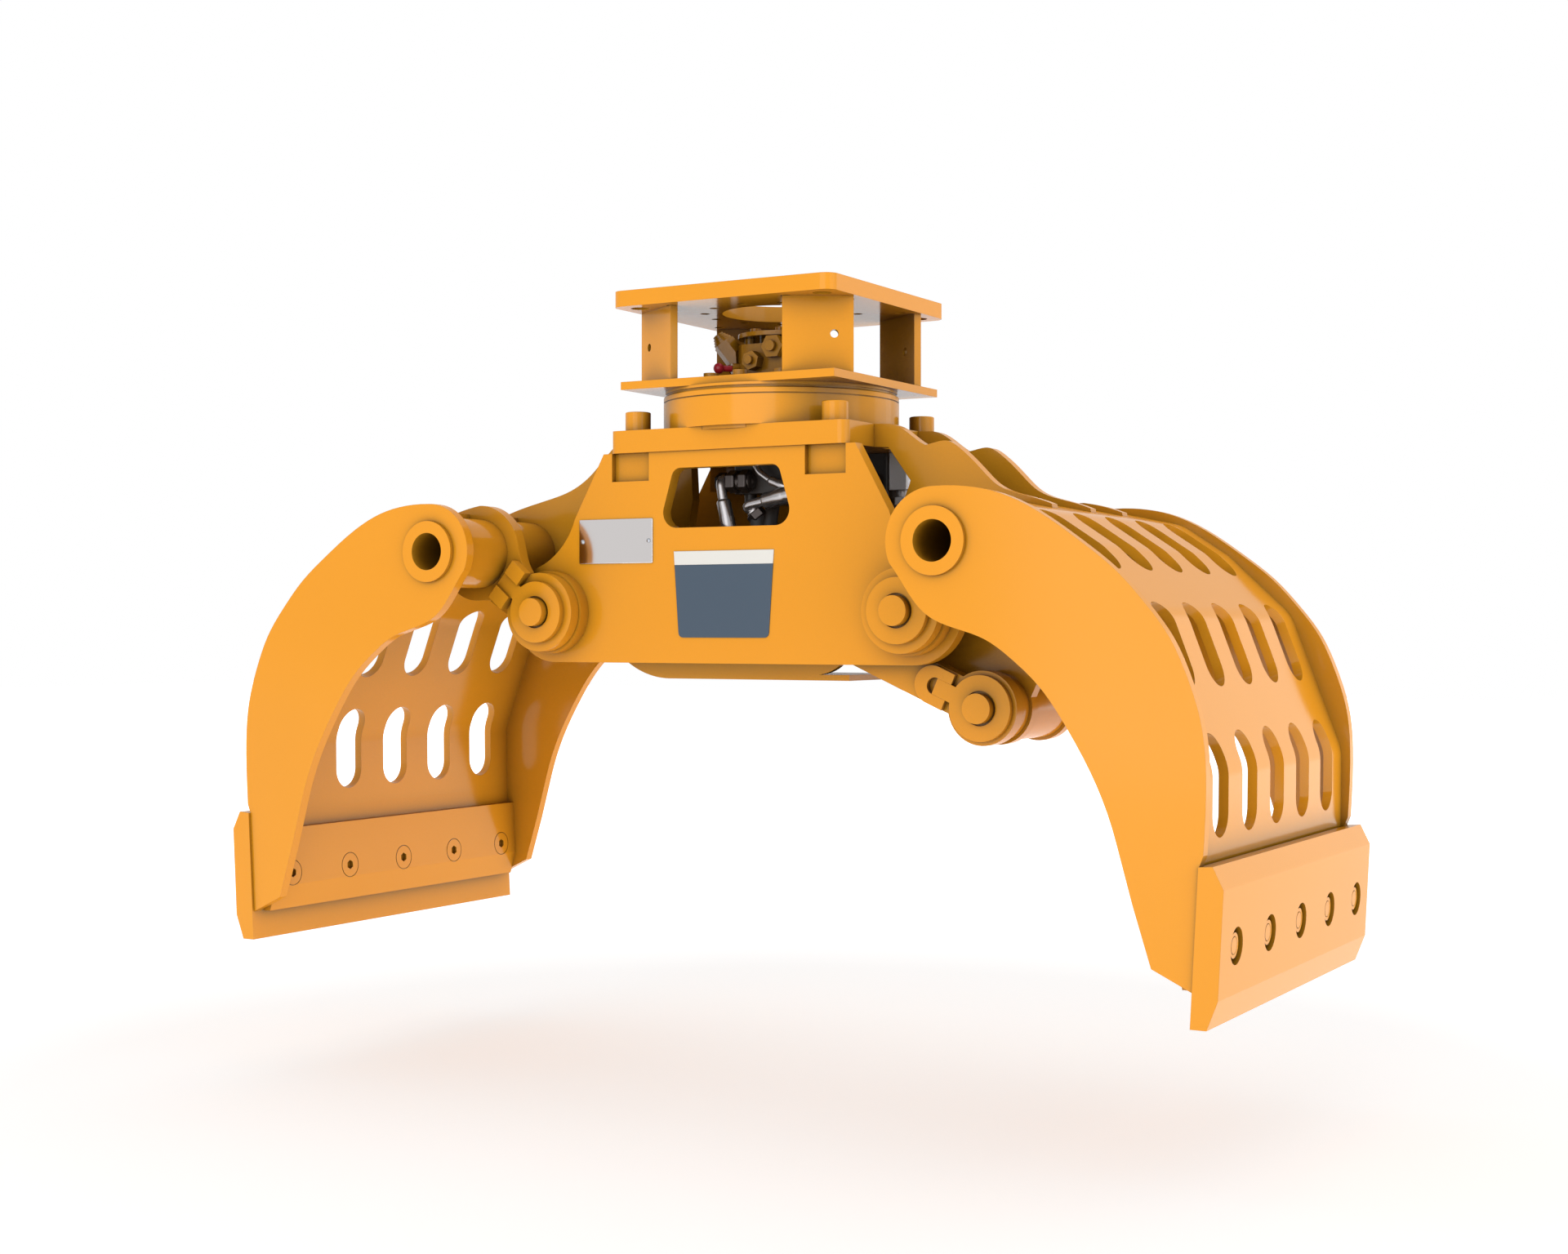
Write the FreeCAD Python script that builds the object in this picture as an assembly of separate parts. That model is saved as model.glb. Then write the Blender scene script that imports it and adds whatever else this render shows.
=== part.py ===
import FreeCAD, Part
import math
import os

os.makedirs("parts", exist_ok=True)
V = FreeCAD.Vector

# Fits and clearances, in mm
FIT = 0.05            # radial play of a located pin, screw or tube
RUN = 0.08            # radial play of a turning pin
FACE = 0.3            # gap between faces that turn on each other
EYE_PLAY = 2.5        # extra radius of the rod eye at the opened pivot
RIM_GAP = 0.8         # visible ring round a sunk screw head
OVER = 1.0            # how far a cutter runs past the faces it cuts

# Main pivots and the points of the linkage, for the right hand shell
PIVOT_X = 231.0
PIVOT_Z = 388.0
TUBE_X = PIVOT_X + 85.0
TUBE_Z = PIVOT_Z + 68.0
LEVER_X = PIVOT_X - 36.3
LEVER_Z = PIVOT_Z + 54.0
LINK_ARM_X = 69.0
LINK_ARM_Z = 102.0
LINK_X = PIVOT_X + LINK_ARM_X
LINK_Z = PIVOT_Z - LINK_ARM_Z
UPPER_X = PIVOT_X - LINK_ARM_X
UPPER_Z = PIVOT_Z + LINK_ARM_Z

# Shell
WIDTH = 500.0
CHEEK_INSET = 3.0
CHEEK_T = 12.0
SHEET_T = 10.0
BEND_R = 40.0
SHEET_INSET = 4.0
SHEET_BACK = SHEET_T + SHEET_INSET
SLOT_W = 46.0
ARM_T = 15.0
LEVER_IN = 46.0
LEVER_T = 15.0
TUBE_R = 40.0
TUBE_END_R = 34.5
TUBE_BORE_R = 21.0
TUBE_STAND = 5.0
HUB_R = 45.0
RING_R = 56.0
LEVER_HUB_R = 30.0
CHEEK_FACE = WIDTH / 2 - CHEEK_INSET
INNER = CHEEK_FACE - CHEEK_T
TUBE_OUT = CHEEK_FACE + TUBE_STAND
SLOT_PITCH = 0.176 * WIDTH

# Blade, inner strip and their screws
BLADE_FOOT_X = 579.0
BLADE_LEAN = 8.0
BLADE_H = 150.0
BLADE_T = 25.5
BLADE_CREST = 14.0
BLADE_TIP = 16.0
BLADE_BEVEL = 20.0
BLADE_EDGE = 28.0
SHEET_END_Z = 33.0
STRIP_T = 10.0
STRIP_EDGE_Z = 62.0
STRIP_TOP_Z = BLADE_H - 20.0
SCREW_Z = 75.0
SCREW_R = 8.0
SCREW_HEAD_R = 14.6
SCREW_KEY = 10.0
NUT_SEAT = 14.0
NUT_R = 12.3
NUT_T = 9.0
BORE_R = 18.0
SCREW_PITCH = 0.204 * WIDTH
REACH = BLADE_FOOT_X - PIVOT_X

# Pins, flags and keepers
PIN_R = 20.0
FLAG_R = 35.0
FLAG_T = 8.0
TAB_HALF = 9.0
TAB_REACH = 62.0
TAB_ANGLE = 40.0
STUB_R = 16.0
STUB_H = 9.0
STUB_GAP = 2.4
STUB_SINK = 4.0
KEEPER_IN = 37.0
KEEPER_OUT = 60.0
KEEPER_W = 18.0
KEEPER_H = 12.0
LEVER_PIN_R = 17.5
LINK_PIN_R = 19.0

# Frame
FRAME_H = 180.0
PLATE_FACE = 124.0
PLATE_T = 16.0
LOBE_R = 57.5
BOSS_R = 47.5
BOSS_STAND = 16.0
BLOCK_X = 152.5
BLOCK_Y = 127.0
BLOCK_T = 25.5
BLOCK_CORNER = 10.0
SEAT_DEPTH = 3.5
BOLT_X = 128.0
BOLT_Y = 105.0
BOLT_R = 9.0
BOLT_HEAD_R = 14.5
BOLT_HEAD_H = 22.0
BOLT_KEY = 14.0
POCKET_X = 126.0
POCKET_W = 50.0
POCKET_H = 32.0
POCKET_DEPTH = 7.0
NUT_BLOCK_T = 30.0
PLATE_TOP = PIVOT_Z + FRAME_H
BLOCK_TOP = PLATE_TOP + BLOCK_T
POCKET_Z = PLATE_TOP - POCKET_H
PLATE_BACK = PLATE_FACE - PLATE_T
ARM_IN = PLATE_FACE + BOSS_STAND

# Belly guard between the frame plates
BELLY_LOW = 312.0
BELLY_T = 6.5
BELLY_LEFT = -166.0
BELLY_RIGHT = 130.0
BELLY_FRONT = -76.0
BELLY_REAR = 40.0
RIB_T = 10.0
RIB_TOP = 345.0

# Rotator and adapter
HOUSING_R = 135.5
HOUSING_H = 40.5
SEAT_R = HOUSING_R - 5.5
SHAFT_R = 70.0
PASSAGE_R = 50.0
HOSE_BORE_R = 30.0
RING_H = 6.0
RING_INSET = 4.0
GROOVE_T = 1.5
LOWER_T = 9.0
LOWER_X = HOUSING_R + 2.5
LOWER_Y = HOUSING_R - 10.0
RING_SCREW_PLACE = 92.0
RING_SCREW_R = 5.0
RING_HEAD_R = 8.5
RING_HEAD_H = 9.0
LEG_X = 103.0
LEG_Y = 99.0
LEG_ANGLE = 32.0
LEG_W = 78.0
LEG_T = 9.0
LEG_H = 83.0
LEG_HOLE_R = 4.5
TOP_T = 18.0
TOP_X = 142.0
TOP_Y = 140.0
TOP_CORNER = 14.0
TOP_HOLE_R = 68.0
MOUNT_X = 118.0
MOUNT_Y = 116.0
MOUNT_R = 10.5
CIRCLE_R = 88.0
CIRCLE_HOLE_R = 5.5
SIDE_HOLE_R = 6.0
SIDE_NEAR_X = 74.0
SIDE_NEAR_Y = 62.0
SIDE_FAR_X = 122.0
SIDE_FAR_Y = 118.0
HOUSING_TOP = BLOCK_TOP + HOUSING_H
LOWER_Z = HOUSING_TOP + RING_H
LOWER_TOP = LOWER_Z + LOWER_T
TOP_Z = LOWER_TOP + LEG_H

# Feed-through on the lower plate
MANIFOLD_HALF = 41.0
MANIFOLD_CORNER = 12.0
MANIFOLD_H = 45.0
DISC_R = 50.0
DISC_T = 5.0
SPACER_H = 8.0
SPACER_R = 6.0
PLUG_AF = 24.0
PLUG_H = 10.0
ELBOW_AF = 23.0
CAP_R = 6.3
CAP_STEM_R = 3.6

# Motor, valve and hose blocks hung under the top block
MOTOR_W = 25.0
MOTOR_FRONT = 20.0
MOTOR_REAR = 75.0
MOTOR_H = 42.0
MOTOR_PORT_X = BLOCK_X - MOTOR_W / 2
MOTOR_PORT_Y = 34.0
MOTOR_PORT_R = 8.0
MOTOR_PORT_H = 20.0
MOTOR_PORT_AF = 19.0
VALVE_W = 36.0
VALVE_REAR = 80.0
VALVE_H = 64.0
VALVE_RIGHT = BLOCK_X - MOTOR_W - FACE
KNOB_R = 9.0
KNOB_H = 8.0
HOSE_BLOCK_LEFT = -30.0
HOSE_BLOCK_RIGHT = 48.0
HOSE_BLOCK_FRONT = -56.0
HOSE_BLOCK_BACK = -22.0
HOSE_BLOCK_H = 46.0
HOSE_STEM_R = 7.0
HOSE_STEM_H = 14.0
HOSE_STEM_X = (-18.0, 14.0, 36.0)
SIDE_PORT_R = 10.5
SIDE_PORT_H = 20.0
SIDE_PORT_AF = 20.0
SIDE_PORT_DOWN = 31.0
BAR_LEFT = -66.0
BAR_RIGHT = 52.0
BAR_FRONT = -78.0
BAR_BACK = -64.0
BAR_LOW = PLATE_TOP - 128.0
BAR_H = 22.0
STRAP_W = 12.0
STRAP_T = 6.0

# Cylinder and cross link
BARREL_R = 34.0
BARREL_WALL = 7.0
BARREL_START = -140.0
BARREL_END = 108.0
GLAND_IN = 34.0
GLAND_OUT = 14.0
NECK_R = 24.0
PORT_R = 12.0
PORT_H = 9.0
ROD_R = 20.0
ROD_TAIL_R = 14.0
PISTON_T = 28.0
EYE_R = 29.0
EYE_HALF = 30.0
LINK_FACE = 100.0
LINK_T = 20.0
LINK_EYE_R = 39.5
LINK_TOP_R = 30.0
LINK_BAR_HALF = 21.5
LINK_FLAG_T = 7.0
LINK_TAB_REACH = 56.5
FORK_R = 20.5
FORK_IN = 39.5
LOWER_HUB_R = 40.0
LOWER_BOSS_R = 36.5
LOWER_SPIGOT_R = 31.0


def outline(y, start, steps):
    """Closed wire in the XZ plane: line, arc and curve steps from a start point."""
    edges = []
    here = V(start[0], y, start[1])
    for step in steps:
        pts = [V(p[0], y, p[1]) for p in step[1:]]
        if step[0] == "line":
            for p in pts:
                edges.append(Part.LineSegment(here, p).toShape())
                here = p
        if step[0] == "arc":
            edges.append(Part.Arc(here, pts[0], pts[1]).toShape())
            here = pts[1]
        if step[0] == "curve":
            curve = Part.BSplineCurve()
            curve.interpolate([here] + pts)
            edges.append(curve.toShape())
            here = pts[-1]
    first = V(start[0], y, start[1])
    if here.distanceToPoint(first) > 1e-6:
        edges.append(Part.LineSegment(here, first).toShape())
    return Part.Wire(edges)


def slab(y, thick, start, steps):
    """Plate cut to an outline, from y to y + thick."""
    return Part.Face(outline(y, start, steps)).extrude(V(0, thick, 0))


def shell_at(across, up):
    """Profile point of a shell, as shares of its reach from the pivot and of the pivot height."""
    return (PIVOT_X + across * REACH, up * PIVOT_Z)


def frame_at(across, up):
    """Profile point of a frame plate, as shares of the pivot distance and of the frame height."""
    return (across * PIVOT_X, PIVOT_Z + up * FRAME_H)


def rod(start, axis, radius, length):
    """Round bar from a point along an axis."""
    return Part.makeCylinder(radius, length, start, axis)


def rod_y(x, z, radius, y0, y1):
    """Round bar along Y."""
    return rod(V(x, y0, z), V(0, 1, 0), radius, y1 - y0)


def rod_x(x0, x1, radius, y, z):
    """Round bar along X."""
    return rod(V(x0, y, z), V(1, 0, 0), radius, x1 - x0)


def rod_z(x, y, radius, z0, z1):
    """Upright round bar."""
    return rod(V(x, y, z0), V(0, 0, 1), radius, z1 - z0)


def block(x0, x1, y0, y1, z0, z1):
    """Square block between two corners."""
    return Part.makeBox(x1 - x0, y1 - y0, z1 - z0, V(x0, y0, z0))


def upright_edges(body):
    """Edges that stand parallel to the Z axis."""
    straight = [e for e in body.Edges if len(e.Vertexes) == 2]
    return [e for e in straight if abs(e.tangentAt(e.FirstParameter).z) > 0.99]


def rounded_plate(x, y, z0, z1, corner):
    """Flat plate centred on the axis with round upright corners."""
    plate = block(-x, x, -y, y, z0, z1)
    return plate.makeFillet(corner, upright_edges(plate))


def hexagon(across, start, axis, length, turn=0.0):
    """Hexagonal bar from a point along an axis, turned about it."""
    radius = across / math.sqrt(3)
    angles = [math.radians(60 * i + turn) for i in range(7)]
    ring = [V(radius * math.cos(a), radius * math.sin(a), 0) for a in angles]
    bar = Part.Face(Part.makePolygon(ring)).extrude(V(0, 0, length))
    bar.Placement = FreeCAD.Placement(start, FreeCAD.Rotation(V(0, 0, 1), axis))
    return bar


def joined(shapes):
    """One solid from touching or crossing solids."""
    body = shapes[0]
    for shape in shapes[1:]:
        body = body.fuse(shape)
    return body.removeSplitter()


def drilled(body, cutters):
    """Body less all cutters."""
    for cutter in cutters:
        body = body.cut(cutter)
    return body


def both_faces(make):
    """The same plate at the front and at the back."""
    return [make(-1), make(1)]


def save(name, shapes):
    """One STEP file for each node."""
    shape = shapes[0] if len(shapes) == 1 else Part.makeCompound(shapes)
    shape.exportStep("parts/" + name + ".step")


def mirrored(shapes):
    """Left hand copies of right hand pieces."""
    return [s.mirror(V(0, 0, 0), V(1, 0, 0)) for s in shapes]


def turned(shape, x, z, degrees):
    """Shape turned about an axis along Y; positive lifts the +X side."""
    copy = shape.copy()
    copy.rotate(V(x, 0, z), V(0, 1, 0), -degrees)
    return copy


def corners(x, y):
    """The four corner positions."""
    return [(-x, -y), (x, -y), (-x, y), (x, y)]


# Shell sheet


def blade_back(z):
    """X of the blade's flat back face at a height."""
    return BLADE_FOOT_X + BLADE_LEAN * z / BLADE_H


def bends():
    """Outside of the bent back sheet, top to tip."""
    return [shell_at(0.29, 1.295), shell_at(0.486, 1.258), shell_at(0.644, 1.165), shell_at(0.851, 0.992),
            shell_at(1.014, 0.608), (blade_back(BLADE_H) - SHEET_INSET, BLADE_H),
            (blade_back(SHEET_END_Z) - SHEET_INSET, SHEET_END_Z)]


def side_normal(a, b):
    """Unit normal of a facet, pointing into the shell."""
    dx = b[0] - a[0]
    dz = b[1] - a[1]
    length = math.hypot(dx, dz)
    return (dz / length, -dx / length)


def inner_bends():
    """The bend points moved in by the sheet thickness."""
    outside = bends()
    moved = []
    for i, here in enumerate(outside):
        before = outside[max(i - 1, 0)]
        after = outside[min(i + 1, len(outside) - 1)]
        n1 = side_normal(before, here) if i > 0 else side_normal(here, after)
        n2 = side_normal(here, after) if i < len(outside) - 1 else side_normal(before, here)
        scale = SHEET_T / (1 + n1[0] * n2[0] + n1[1] * n2[1])
        moved.append((here[0] + scale * (n1[0] + n2[0]), here[1] + scale * (n1[1] + n2[1])))
    return moved


def slot_cutter(low, high, y):
    """Rounded slot cut square to the line between two points of the profile."""
    nx, nz = side_normal(high, low)
    full = math.hypot(high[0] - low[0], high[1] - low[1])
    ux = (high[0] - low[0]) / full
    uz = (high[1] - low[1]) / full
    reach = 4 * SHEET_T
    half = SLOT_W / 2
    start = V(low[0] + ux * half - nx * reach, y, low[1] + uz * half - nz * reach)
    end = start + V(ux * (full - SLOT_W), 0, uz * (full - SLOT_W))
    across = V(0, half, 0)
    along = V(ux * half, 0, uz * half)
    edges = [Part.LineSegment(start - across, end - across).toShape(),
             Part.Arc(end - across, end + along, end + across).toShape(),
             Part.LineSegment(end + across, start + across).toShape(),
             Part.Arc(start + across, start - along, start - across).toShape()]
    return Part.Face(Part.Wire(edges)).extrude(V(nx * 2 * reach, 0, nz * 2 * reach))


def five(pitch):
    """Y positions of a row of five."""
    return [pitch * (i - 2) for i in range(5)]


def bend_edges(body, points):
    """Edges along Y at the given profile points."""
    found = []
    for edge in body.Edges:
        middle = edge.CenterOfMass
        if any(math.hypot(middle.x - x, middle.z - z) < FIT for x, z in points):
            found.append(edge)
    return found


def sheet_blank():
    """Bent back sheet before slots are cut."""
    points = bends()[1:] + inner_bends()[::-1]
    sheet = slab(-INNER, 2 * INNER, bends()[0], [("line",) + tuple(points)])
    sheet = sheet.makeFillet(BEND_R + SHEET_T, bend_edges(sheet, bends()[1:-2]))
    sheet = sheet.makeFillet(BEND_R, bend_edges(sheet, inner_bends()[1:-2]))
    return sheet.cut(rod_y(TUBE_X, TUBE_Z, TUBE_R + FIT, -INNER - OVER, INNER + OVER))


def back_sheet():
    """Back sheet with its rows of slots and the screw holes."""
    rows = [(shell_at(1.011, 0.441), shell_at(0.983, 0.696)),
            (shell_at(0.922, 0.802), shell_at(0.828, 1.023)),
            (shell_at(0.71, 1.093), shell_at(0.48, 1.255))]
    cutters = [slot_cutter(low, high, y) for low, high in rows for y in five(SLOT_PITCH)]
    for y in five(SCREW_PITCH):
        cutters.append(screw_bar(SCREW_R + FIT, -SHEET_BACK - STRIP_T, BLADE_T, y))
    return drilled(sheet_blank(), cutters)


def cheek(side):
    """Curved side plate of the shell, carried by the tube end."""
    y = -CHEEK_FACE if side < 0 else CHEEK_FACE - CHEEK_T
    start = shell_at(0.244, 1.314)
    rim = [shell_at(0.328, 1.312), shell_at(0.445, 1.291), shell_at(0.575, 1.235), shell_at(0.684, 1.168),
           shell_at(0.79, 1.093), shell_at(0.868, 1.018), shell_at(0.94, 0.933), shell_at(0.991, 0.835),
           shell_at(1.029, 0.724), shell_at(1.042, 0.603), (blade_back(BLADE_H) + 4, BLADE_H + 10)]
    mouth = [shell_at(0.79, 0.433), shell_at(0.727, 0.582), shell_at(0.649, 0.705), shell_at(0.557, 0.817),
             shell_at(0.483, 0.876), shell_at(0.397, 0.927), shell_at(0.287, 0.959), shell_at(0.216, 0.99),
             shell_at(0.147, 1.064), shell_at(0.102, 1.12)]
    nose = [shell_at(0.889, 0.135), shell_at(0.836, 0.286)]
    plate = slab(y, CHEEK_T, start, [
        ("curve",) + tuple(rim),
        ("line", (blade_back(BLADE_H), BLADE_H), (blade_back(SHEET_END_Z), SHEET_END_Z))
        + tuple(nose) + (mouth[0],),
        ("curve",) + tuple(mouth[1:]),
        ("arc", shell_at(0.089, 1.175), start)])
    return plate.cut(rod_y(TUBE_X, TUBE_Z, TUBE_END_R + FIT, y - OVER, y + CHEEK_T + OVER))


def torsion_tube():
    """Cross tube with turned down ends that stand out of the cheeks."""
    tube = rod_y(TUBE_X, TUBE_Z, TUBE_R, -INNER, INNER)
    tube = joined([tube, rod_y(TUBE_X, TUBE_Z, TUBE_END_R, -TUBE_OUT, TUBE_OUT)])
    return tube.cut(rod_y(TUBE_X, TUBE_Z, TUBE_BORE_R, -TUBE_OUT - OVER, TUBE_OUT + OVER))


def arm_plate(side):
    """Outer arm: from the main pin hub round the tube and on as a rib on the sheet."""
    y = -ARM_IN - ARM_T if side < 0 else ARM_IN
    web = slab(y, ARM_T, shell_at(0.376, 1.289), [
        ("curve", shell_at(0.313, 1.307), (TUBE_X, TUBE_Z + RING_R)),
        ("curve", shell_at(0.155, 1.295), shell_at(0.095, 1.231), shell_at(0.075, 1.16),
         shell_at(0.052, 1.119)),
        ("line", (PIVOT_X, PIVOT_Z), shell_at(0.116, 0.98)),
        ("curve", shell_at(0.157, 1.03), shell_at(0.216, 1.036), shell_at(0.286, 1.038),
         shell_at(0.358, 1.073),
         shell_at(0.422, 1.142), shell_at(0.486, 1.211)),
        ("line", shell_at(0.477, 1.246), shell_at(0.382, 1.264))])
    plate = joined([web, rod_y(PIVOT_X, PIVOT_Z, HUB_R, y, y + ARM_T)])
    return drilled(plate, [sheet_blank(), rod_y(TUBE_X, TUBE_Z, TUBE_R + FIT, y - OVER, y + ARM_T + OVER),
                           rod_y(PIVOT_X, PIVOT_Z, PIN_R + FIT, y - OVER, y + ARM_T + OVER)])


def lever_web(y, humped, low_arm):
    """Inner lever plate outline with its horn, and the hump and the lower arm where asked."""
    if humped:
        top = [("curve", shell_at(-0.129, 1.513), shell_at(-0.089, 1.487), shell_at(-0.046, 1.463)),
               ("curve", shell_at(-0.009, 1.47), shell_at(0.029, 1.472), shell_at(0.066, 1.454),
                shell_at(0.141, 1.392), shell_at(0.198, 1.345), shell_at(0.302, 1.311),
                shell_at(0.376, 1.289))]
        inner = [("line", shell_at(-0.126, 0.99), shell_at(-0.187, 1.124)),
                 ("curve", shell_at(-0.187, 1.173), shell_at(-0.135, 1.289), shell_at(-0.098, 1.366)),
                 ("line", shell_at(-0.175, 1.461), (BLOCK_X, PLATE_TOP))]
    else:
        top = [("curve", shell_at(-0.103, 1.49), shell_at(-0.026, 1.423), shell_at(0.055, 1.376),
                shell_at(0.155, 1.348), shell_at(0.261, 1.325), shell_at(0.376, 1.289))]
        inner = [("line", shell_at(-0.126, 0.99), shell_at(-0.187, 1.124)),
                 ("curve", shell_at(-0.204, 1.211), shell_at(-0.233, 1.351)),
                 ("line", (BLOCK_X, PLATE_TOP))]
    back = [("line", shell_at(0.382, 1.264), shell_at(0.477, 1.246), shell_at(0.557, 1.188))]
    low = [("curve", shell_at(0.463, 1.077), shell_at(0.328, 0.992), shell_at(0.17, 0.918),
            shell_at(0.089, 0.887))]
    if low_arm:
        low = [("curve", shell_at(0.463, 1.031), shell_at(0.376, 0.889), shell_at(0.307, 0.763)),
               ("line", shell_at(0.089, 0.711), shell_at(-0.089, 0.907))]
    horn = [("line", (BLOCK_X + 0.055 * REACH, BLOCK_TOP - OVER))]
    return slab(y, LEVER_T, (BLOCK_X, BLOCK_TOP), horn + top + back + low + inner)


def lever_plate(side, humped, low_arm, upper_lug):
    """Inner lever plate with hubs for the main pin, the cylinder pin and the link."""
    y = -LEVER_IN - LEVER_T if side < 0 else LEVER_IN
    y1 = y + LEVER_T
    parts = [lever_web(y, humped, low_arm), rod_y(PIVOT_X, PIVOT_Z, HUB_R, y, y1)]
    parts.append(rod_y(LEVER_X, LEVER_Z, LEVER_HUB_R, y, y1))
    holes = [sheet_blank(), rod_y(TUBE_X, TUBE_Z, TUBE_R + FIT, y - OVER, y1 + OVER),
             rod_y(PIVOT_X, PIVOT_Z, PIN_R + FIT, y - OVER, y1 + OVER),
             rod_y(LEVER_X, LEVER_Z, LEVER_PIN_R + FIT, y - OVER, y1 + OVER)]
    if low_arm:
        parts.append(rod_y(LINK_X, LINK_Z, LOWER_HUB_R, y, y1))
        holes.append(rod_y(LINK_X, LINK_Z, LOWER_SPIGOT_R + FIT, y - OVER, y1 + OVER))
    if upper_lug:
        parts.append(rod_y(UPPER_X, UPPER_Z, LEVER_HUB_R, y, y1))
    return drilled(joined(parts), holes)


def blade():
    """Outer wear blade with bevels and five counterbored holes."""
    edge = (blade_back(BLADE_EDGE) + BLADE_T, BLADE_EDGE)
    crest = (blade_back(BLADE_H - BLADE_BEVEL) + BLADE_T, BLADE_H - BLADE_BEVEL)
    body = slab(-WIDTH / 2, WIDTH, (blade_back(BLADE_H), BLADE_H), [
        ("line", (blade_back(BLADE_H) + BLADE_CREST, BLADE_H + 1), crest, edge,
         (BLADE_FOOT_X + BLADE_TIP, 0), (BLADE_FOOT_X, 0))])
    cutters = []
    for y in five(SCREW_PITCH):
        cutters.append(screw_bar(SCREW_R + FIT, -OVER, NUT_SEAT + OVER, y))
        cutters.append(screw_bar(BORE_R, NUT_SEAT, 2 * BLADE_T, y))
    return drilled(body, cutters)


def screw_line(depth, y):
    """Point on a blade screw's axis, measured out from the blade's back, and the axis."""
    length = math.hypot(BLADE_LEAN, BLADE_H)
    out = V(BLADE_H / length, 0, -BLADE_LEAN / length)
    return V(blade_back(SCREW_Z), y, SCREW_Z) + out * depth, out


def screw_bar(radius, start, end, y):
    """Round bar on a blade screw's axis between two depths."""
    point, out = screw_line(start, y)
    return rod(point, out, radius, end - start)


def screw_cone(y, extra):
    """Countersunk head or its seat."""
    point, out = screw_line(-SHEET_BACK - STRIP_T, y)
    return Part.makeCone(SCREW_HEAD_R + extra, SCREW_R + extra, SCREW_HEAD_R - SCREW_R, point, out)


def inner_strip():
    """Bevelled strip inside the shell, held by the countersunk screws."""
    slant = math.hypot(BLADE_LEAN, BLADE_H) / BLADE_H
    seat = SHEET_INSET + SHEET_T * slant
    face = SHEET_INSET + (SHEET_T + STRIP_T) * slant
    body = slab(-INNER, 2 * INNER, (blade_back(STRIP_TOP_Z) - seat, STRIP_TOP_Z), [
        ("line", (blade_back(STRIP_TOP_Z) - face, STRIP_TOP_Z),
         (blade_back(STRIP_EDGE_Z) - face, STRIP_EDGE_Z),
         (blade_back(SHEET_END_Z) - seat, SHEET_END_Z))])
    cutters = []
    for y in five(SCREW_PITCH):
        cutters.append(screw_bar(SCREW_R + FIT, -SHEET_BACK - STRIP_T - OVER, 0, y))
        cutters.append(screw_cone(y, 2 * FIT))
        cutters.append(screw_bar(SCREW_HEAD_R + RIM_GAP, -SHEET_BACK - STRIP_T - OVER,
                                 RIM_GAP - SHEET_BACK - STRIP_T, y))
    return drilled(body, cutters)


def blade_screw(y):
    """Countersunk socket screw."""
    body = joined([screw_cone(y, 0), screw_bar(SCREW_R, 2 - SHEET_BACK - STRIP_T, NUT_SEAT + NUT_T, y)])
    point, out = screw_line(-SHEET_BACK - STRIP_T - OVER, y)
    return body.cut(hexagon(SCREW_KEY, point, out, SCREW_KEY / 2 + OVER))


def blade_nut(y):
    """Round nut in the counterbore, with a chamfered thread."""
    body = screw_bar(NUT_R, NUT_SEAT, NUT_SEAT + NUT_T, y)
    rim = [e for e in body.Edges if len(e.Vertexes) == 1]
    body = body.makeChamfer(OVER, rim[-1:])
    point, out = screw_line(NUT_SEAT + NUT_T - OVER, y)
    ring = Part.makeCone(SCREW_R + FIT, SCREW_R + FIT + 2 * OVER, 2 * OVER, point, out)
    return drilled(body, [screw_bar(SCREW_R + FIT, NUT_SEAT - OVER, NUT_SEAT + NUT_T + OVER, y), ring])


# Pins


def flag(x, z, radius, y_out, thick, side, degrees, reach):
    """Retaining disc with a tab, its outer face at y_out."""
    y0 = y_out if side < 0 else y_out - thick
    disc = rod_y(x, z, radius, y0, y0 + thick)
    tab = turned(block(x, x + reach, y0, y0 + thick, z - TAB_HALF, z + TAB_HALF), x, z, degrees)
    return joined([disc, tab])


def main_pin():
    """Main pin through all plates with a flag and stub at each end."""
    out = ARM_IN + ARM_T + FLAG_T
    parts = [rod_y(PIVOT_X, PIVOT_Z, PIN_R, -out, out)]
    for side in (-1, 1):
        parts.append(flag(PIVOT_X, PIVOT_Z, FLAG_R, side * out, FLAG_T, side, TAB_ANGLE, TAB_REACH))
    pin = joined(parts)
    for y0, y1 in ((-out - OVER, -out + STUB_SINK), (out - STUB_SINK, out + OVER)):
        pin = pin.cut(rod_y(PIVOT_X, PIVOT_Z, STUB_R + STUB_GAP, y0, y1))
    return joined([pin, rod_y(PIVOT_X, PIVOT_Z, STUB_R, -out - STUB_H, out + STUB_H)])


def keepers(side):
    """Two blocks on the arm plate that hold the flag tab between them."""
    y = -ARM_IN - ARM_T - KEEPER_H if side < 0 else ARM_IN + ARM_T
    pair = []
    for low in (TAB_HALF + FIT, -TAB_HALF - FIT - KEEPER_W):
        bar = block(PIVOT_X + KEEPER_IN, PIVOT_X + KEEPER_OUT, y, y + KEEPER_H,
                    PIVOT_Z + low, PIVOT_Z + low + KEEPER_W)
        pair.append(turned(bar, PIVOT_X, PIVOT_Z, TAB_ANGLE))
    return pair


def lower_boss():
    """Cross boss at the lower link pin, spigoted through the lever plates."""
    plates = LEVER_IN + LEVER_T
    front = -LINK_FACE + LINK_T + FACE
    body = joined([rod_y(LINK_X, LINK_Z, LOWER_SPIGOT_R, -plates, plates),
                   rod_y(LINK_X, LINK_Z, LOWER_BOSS_R, front, -plates),
                   rod_y(LINK_X, LINK_Z, LOWER_BOSS_R, -LEVER_IN, LEVER_IN)])
    return body.cut(rod_y(LINK_X, LINK_Z, LINK_PIN_R + RUN, front - OVER, plates + OVER))


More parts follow.
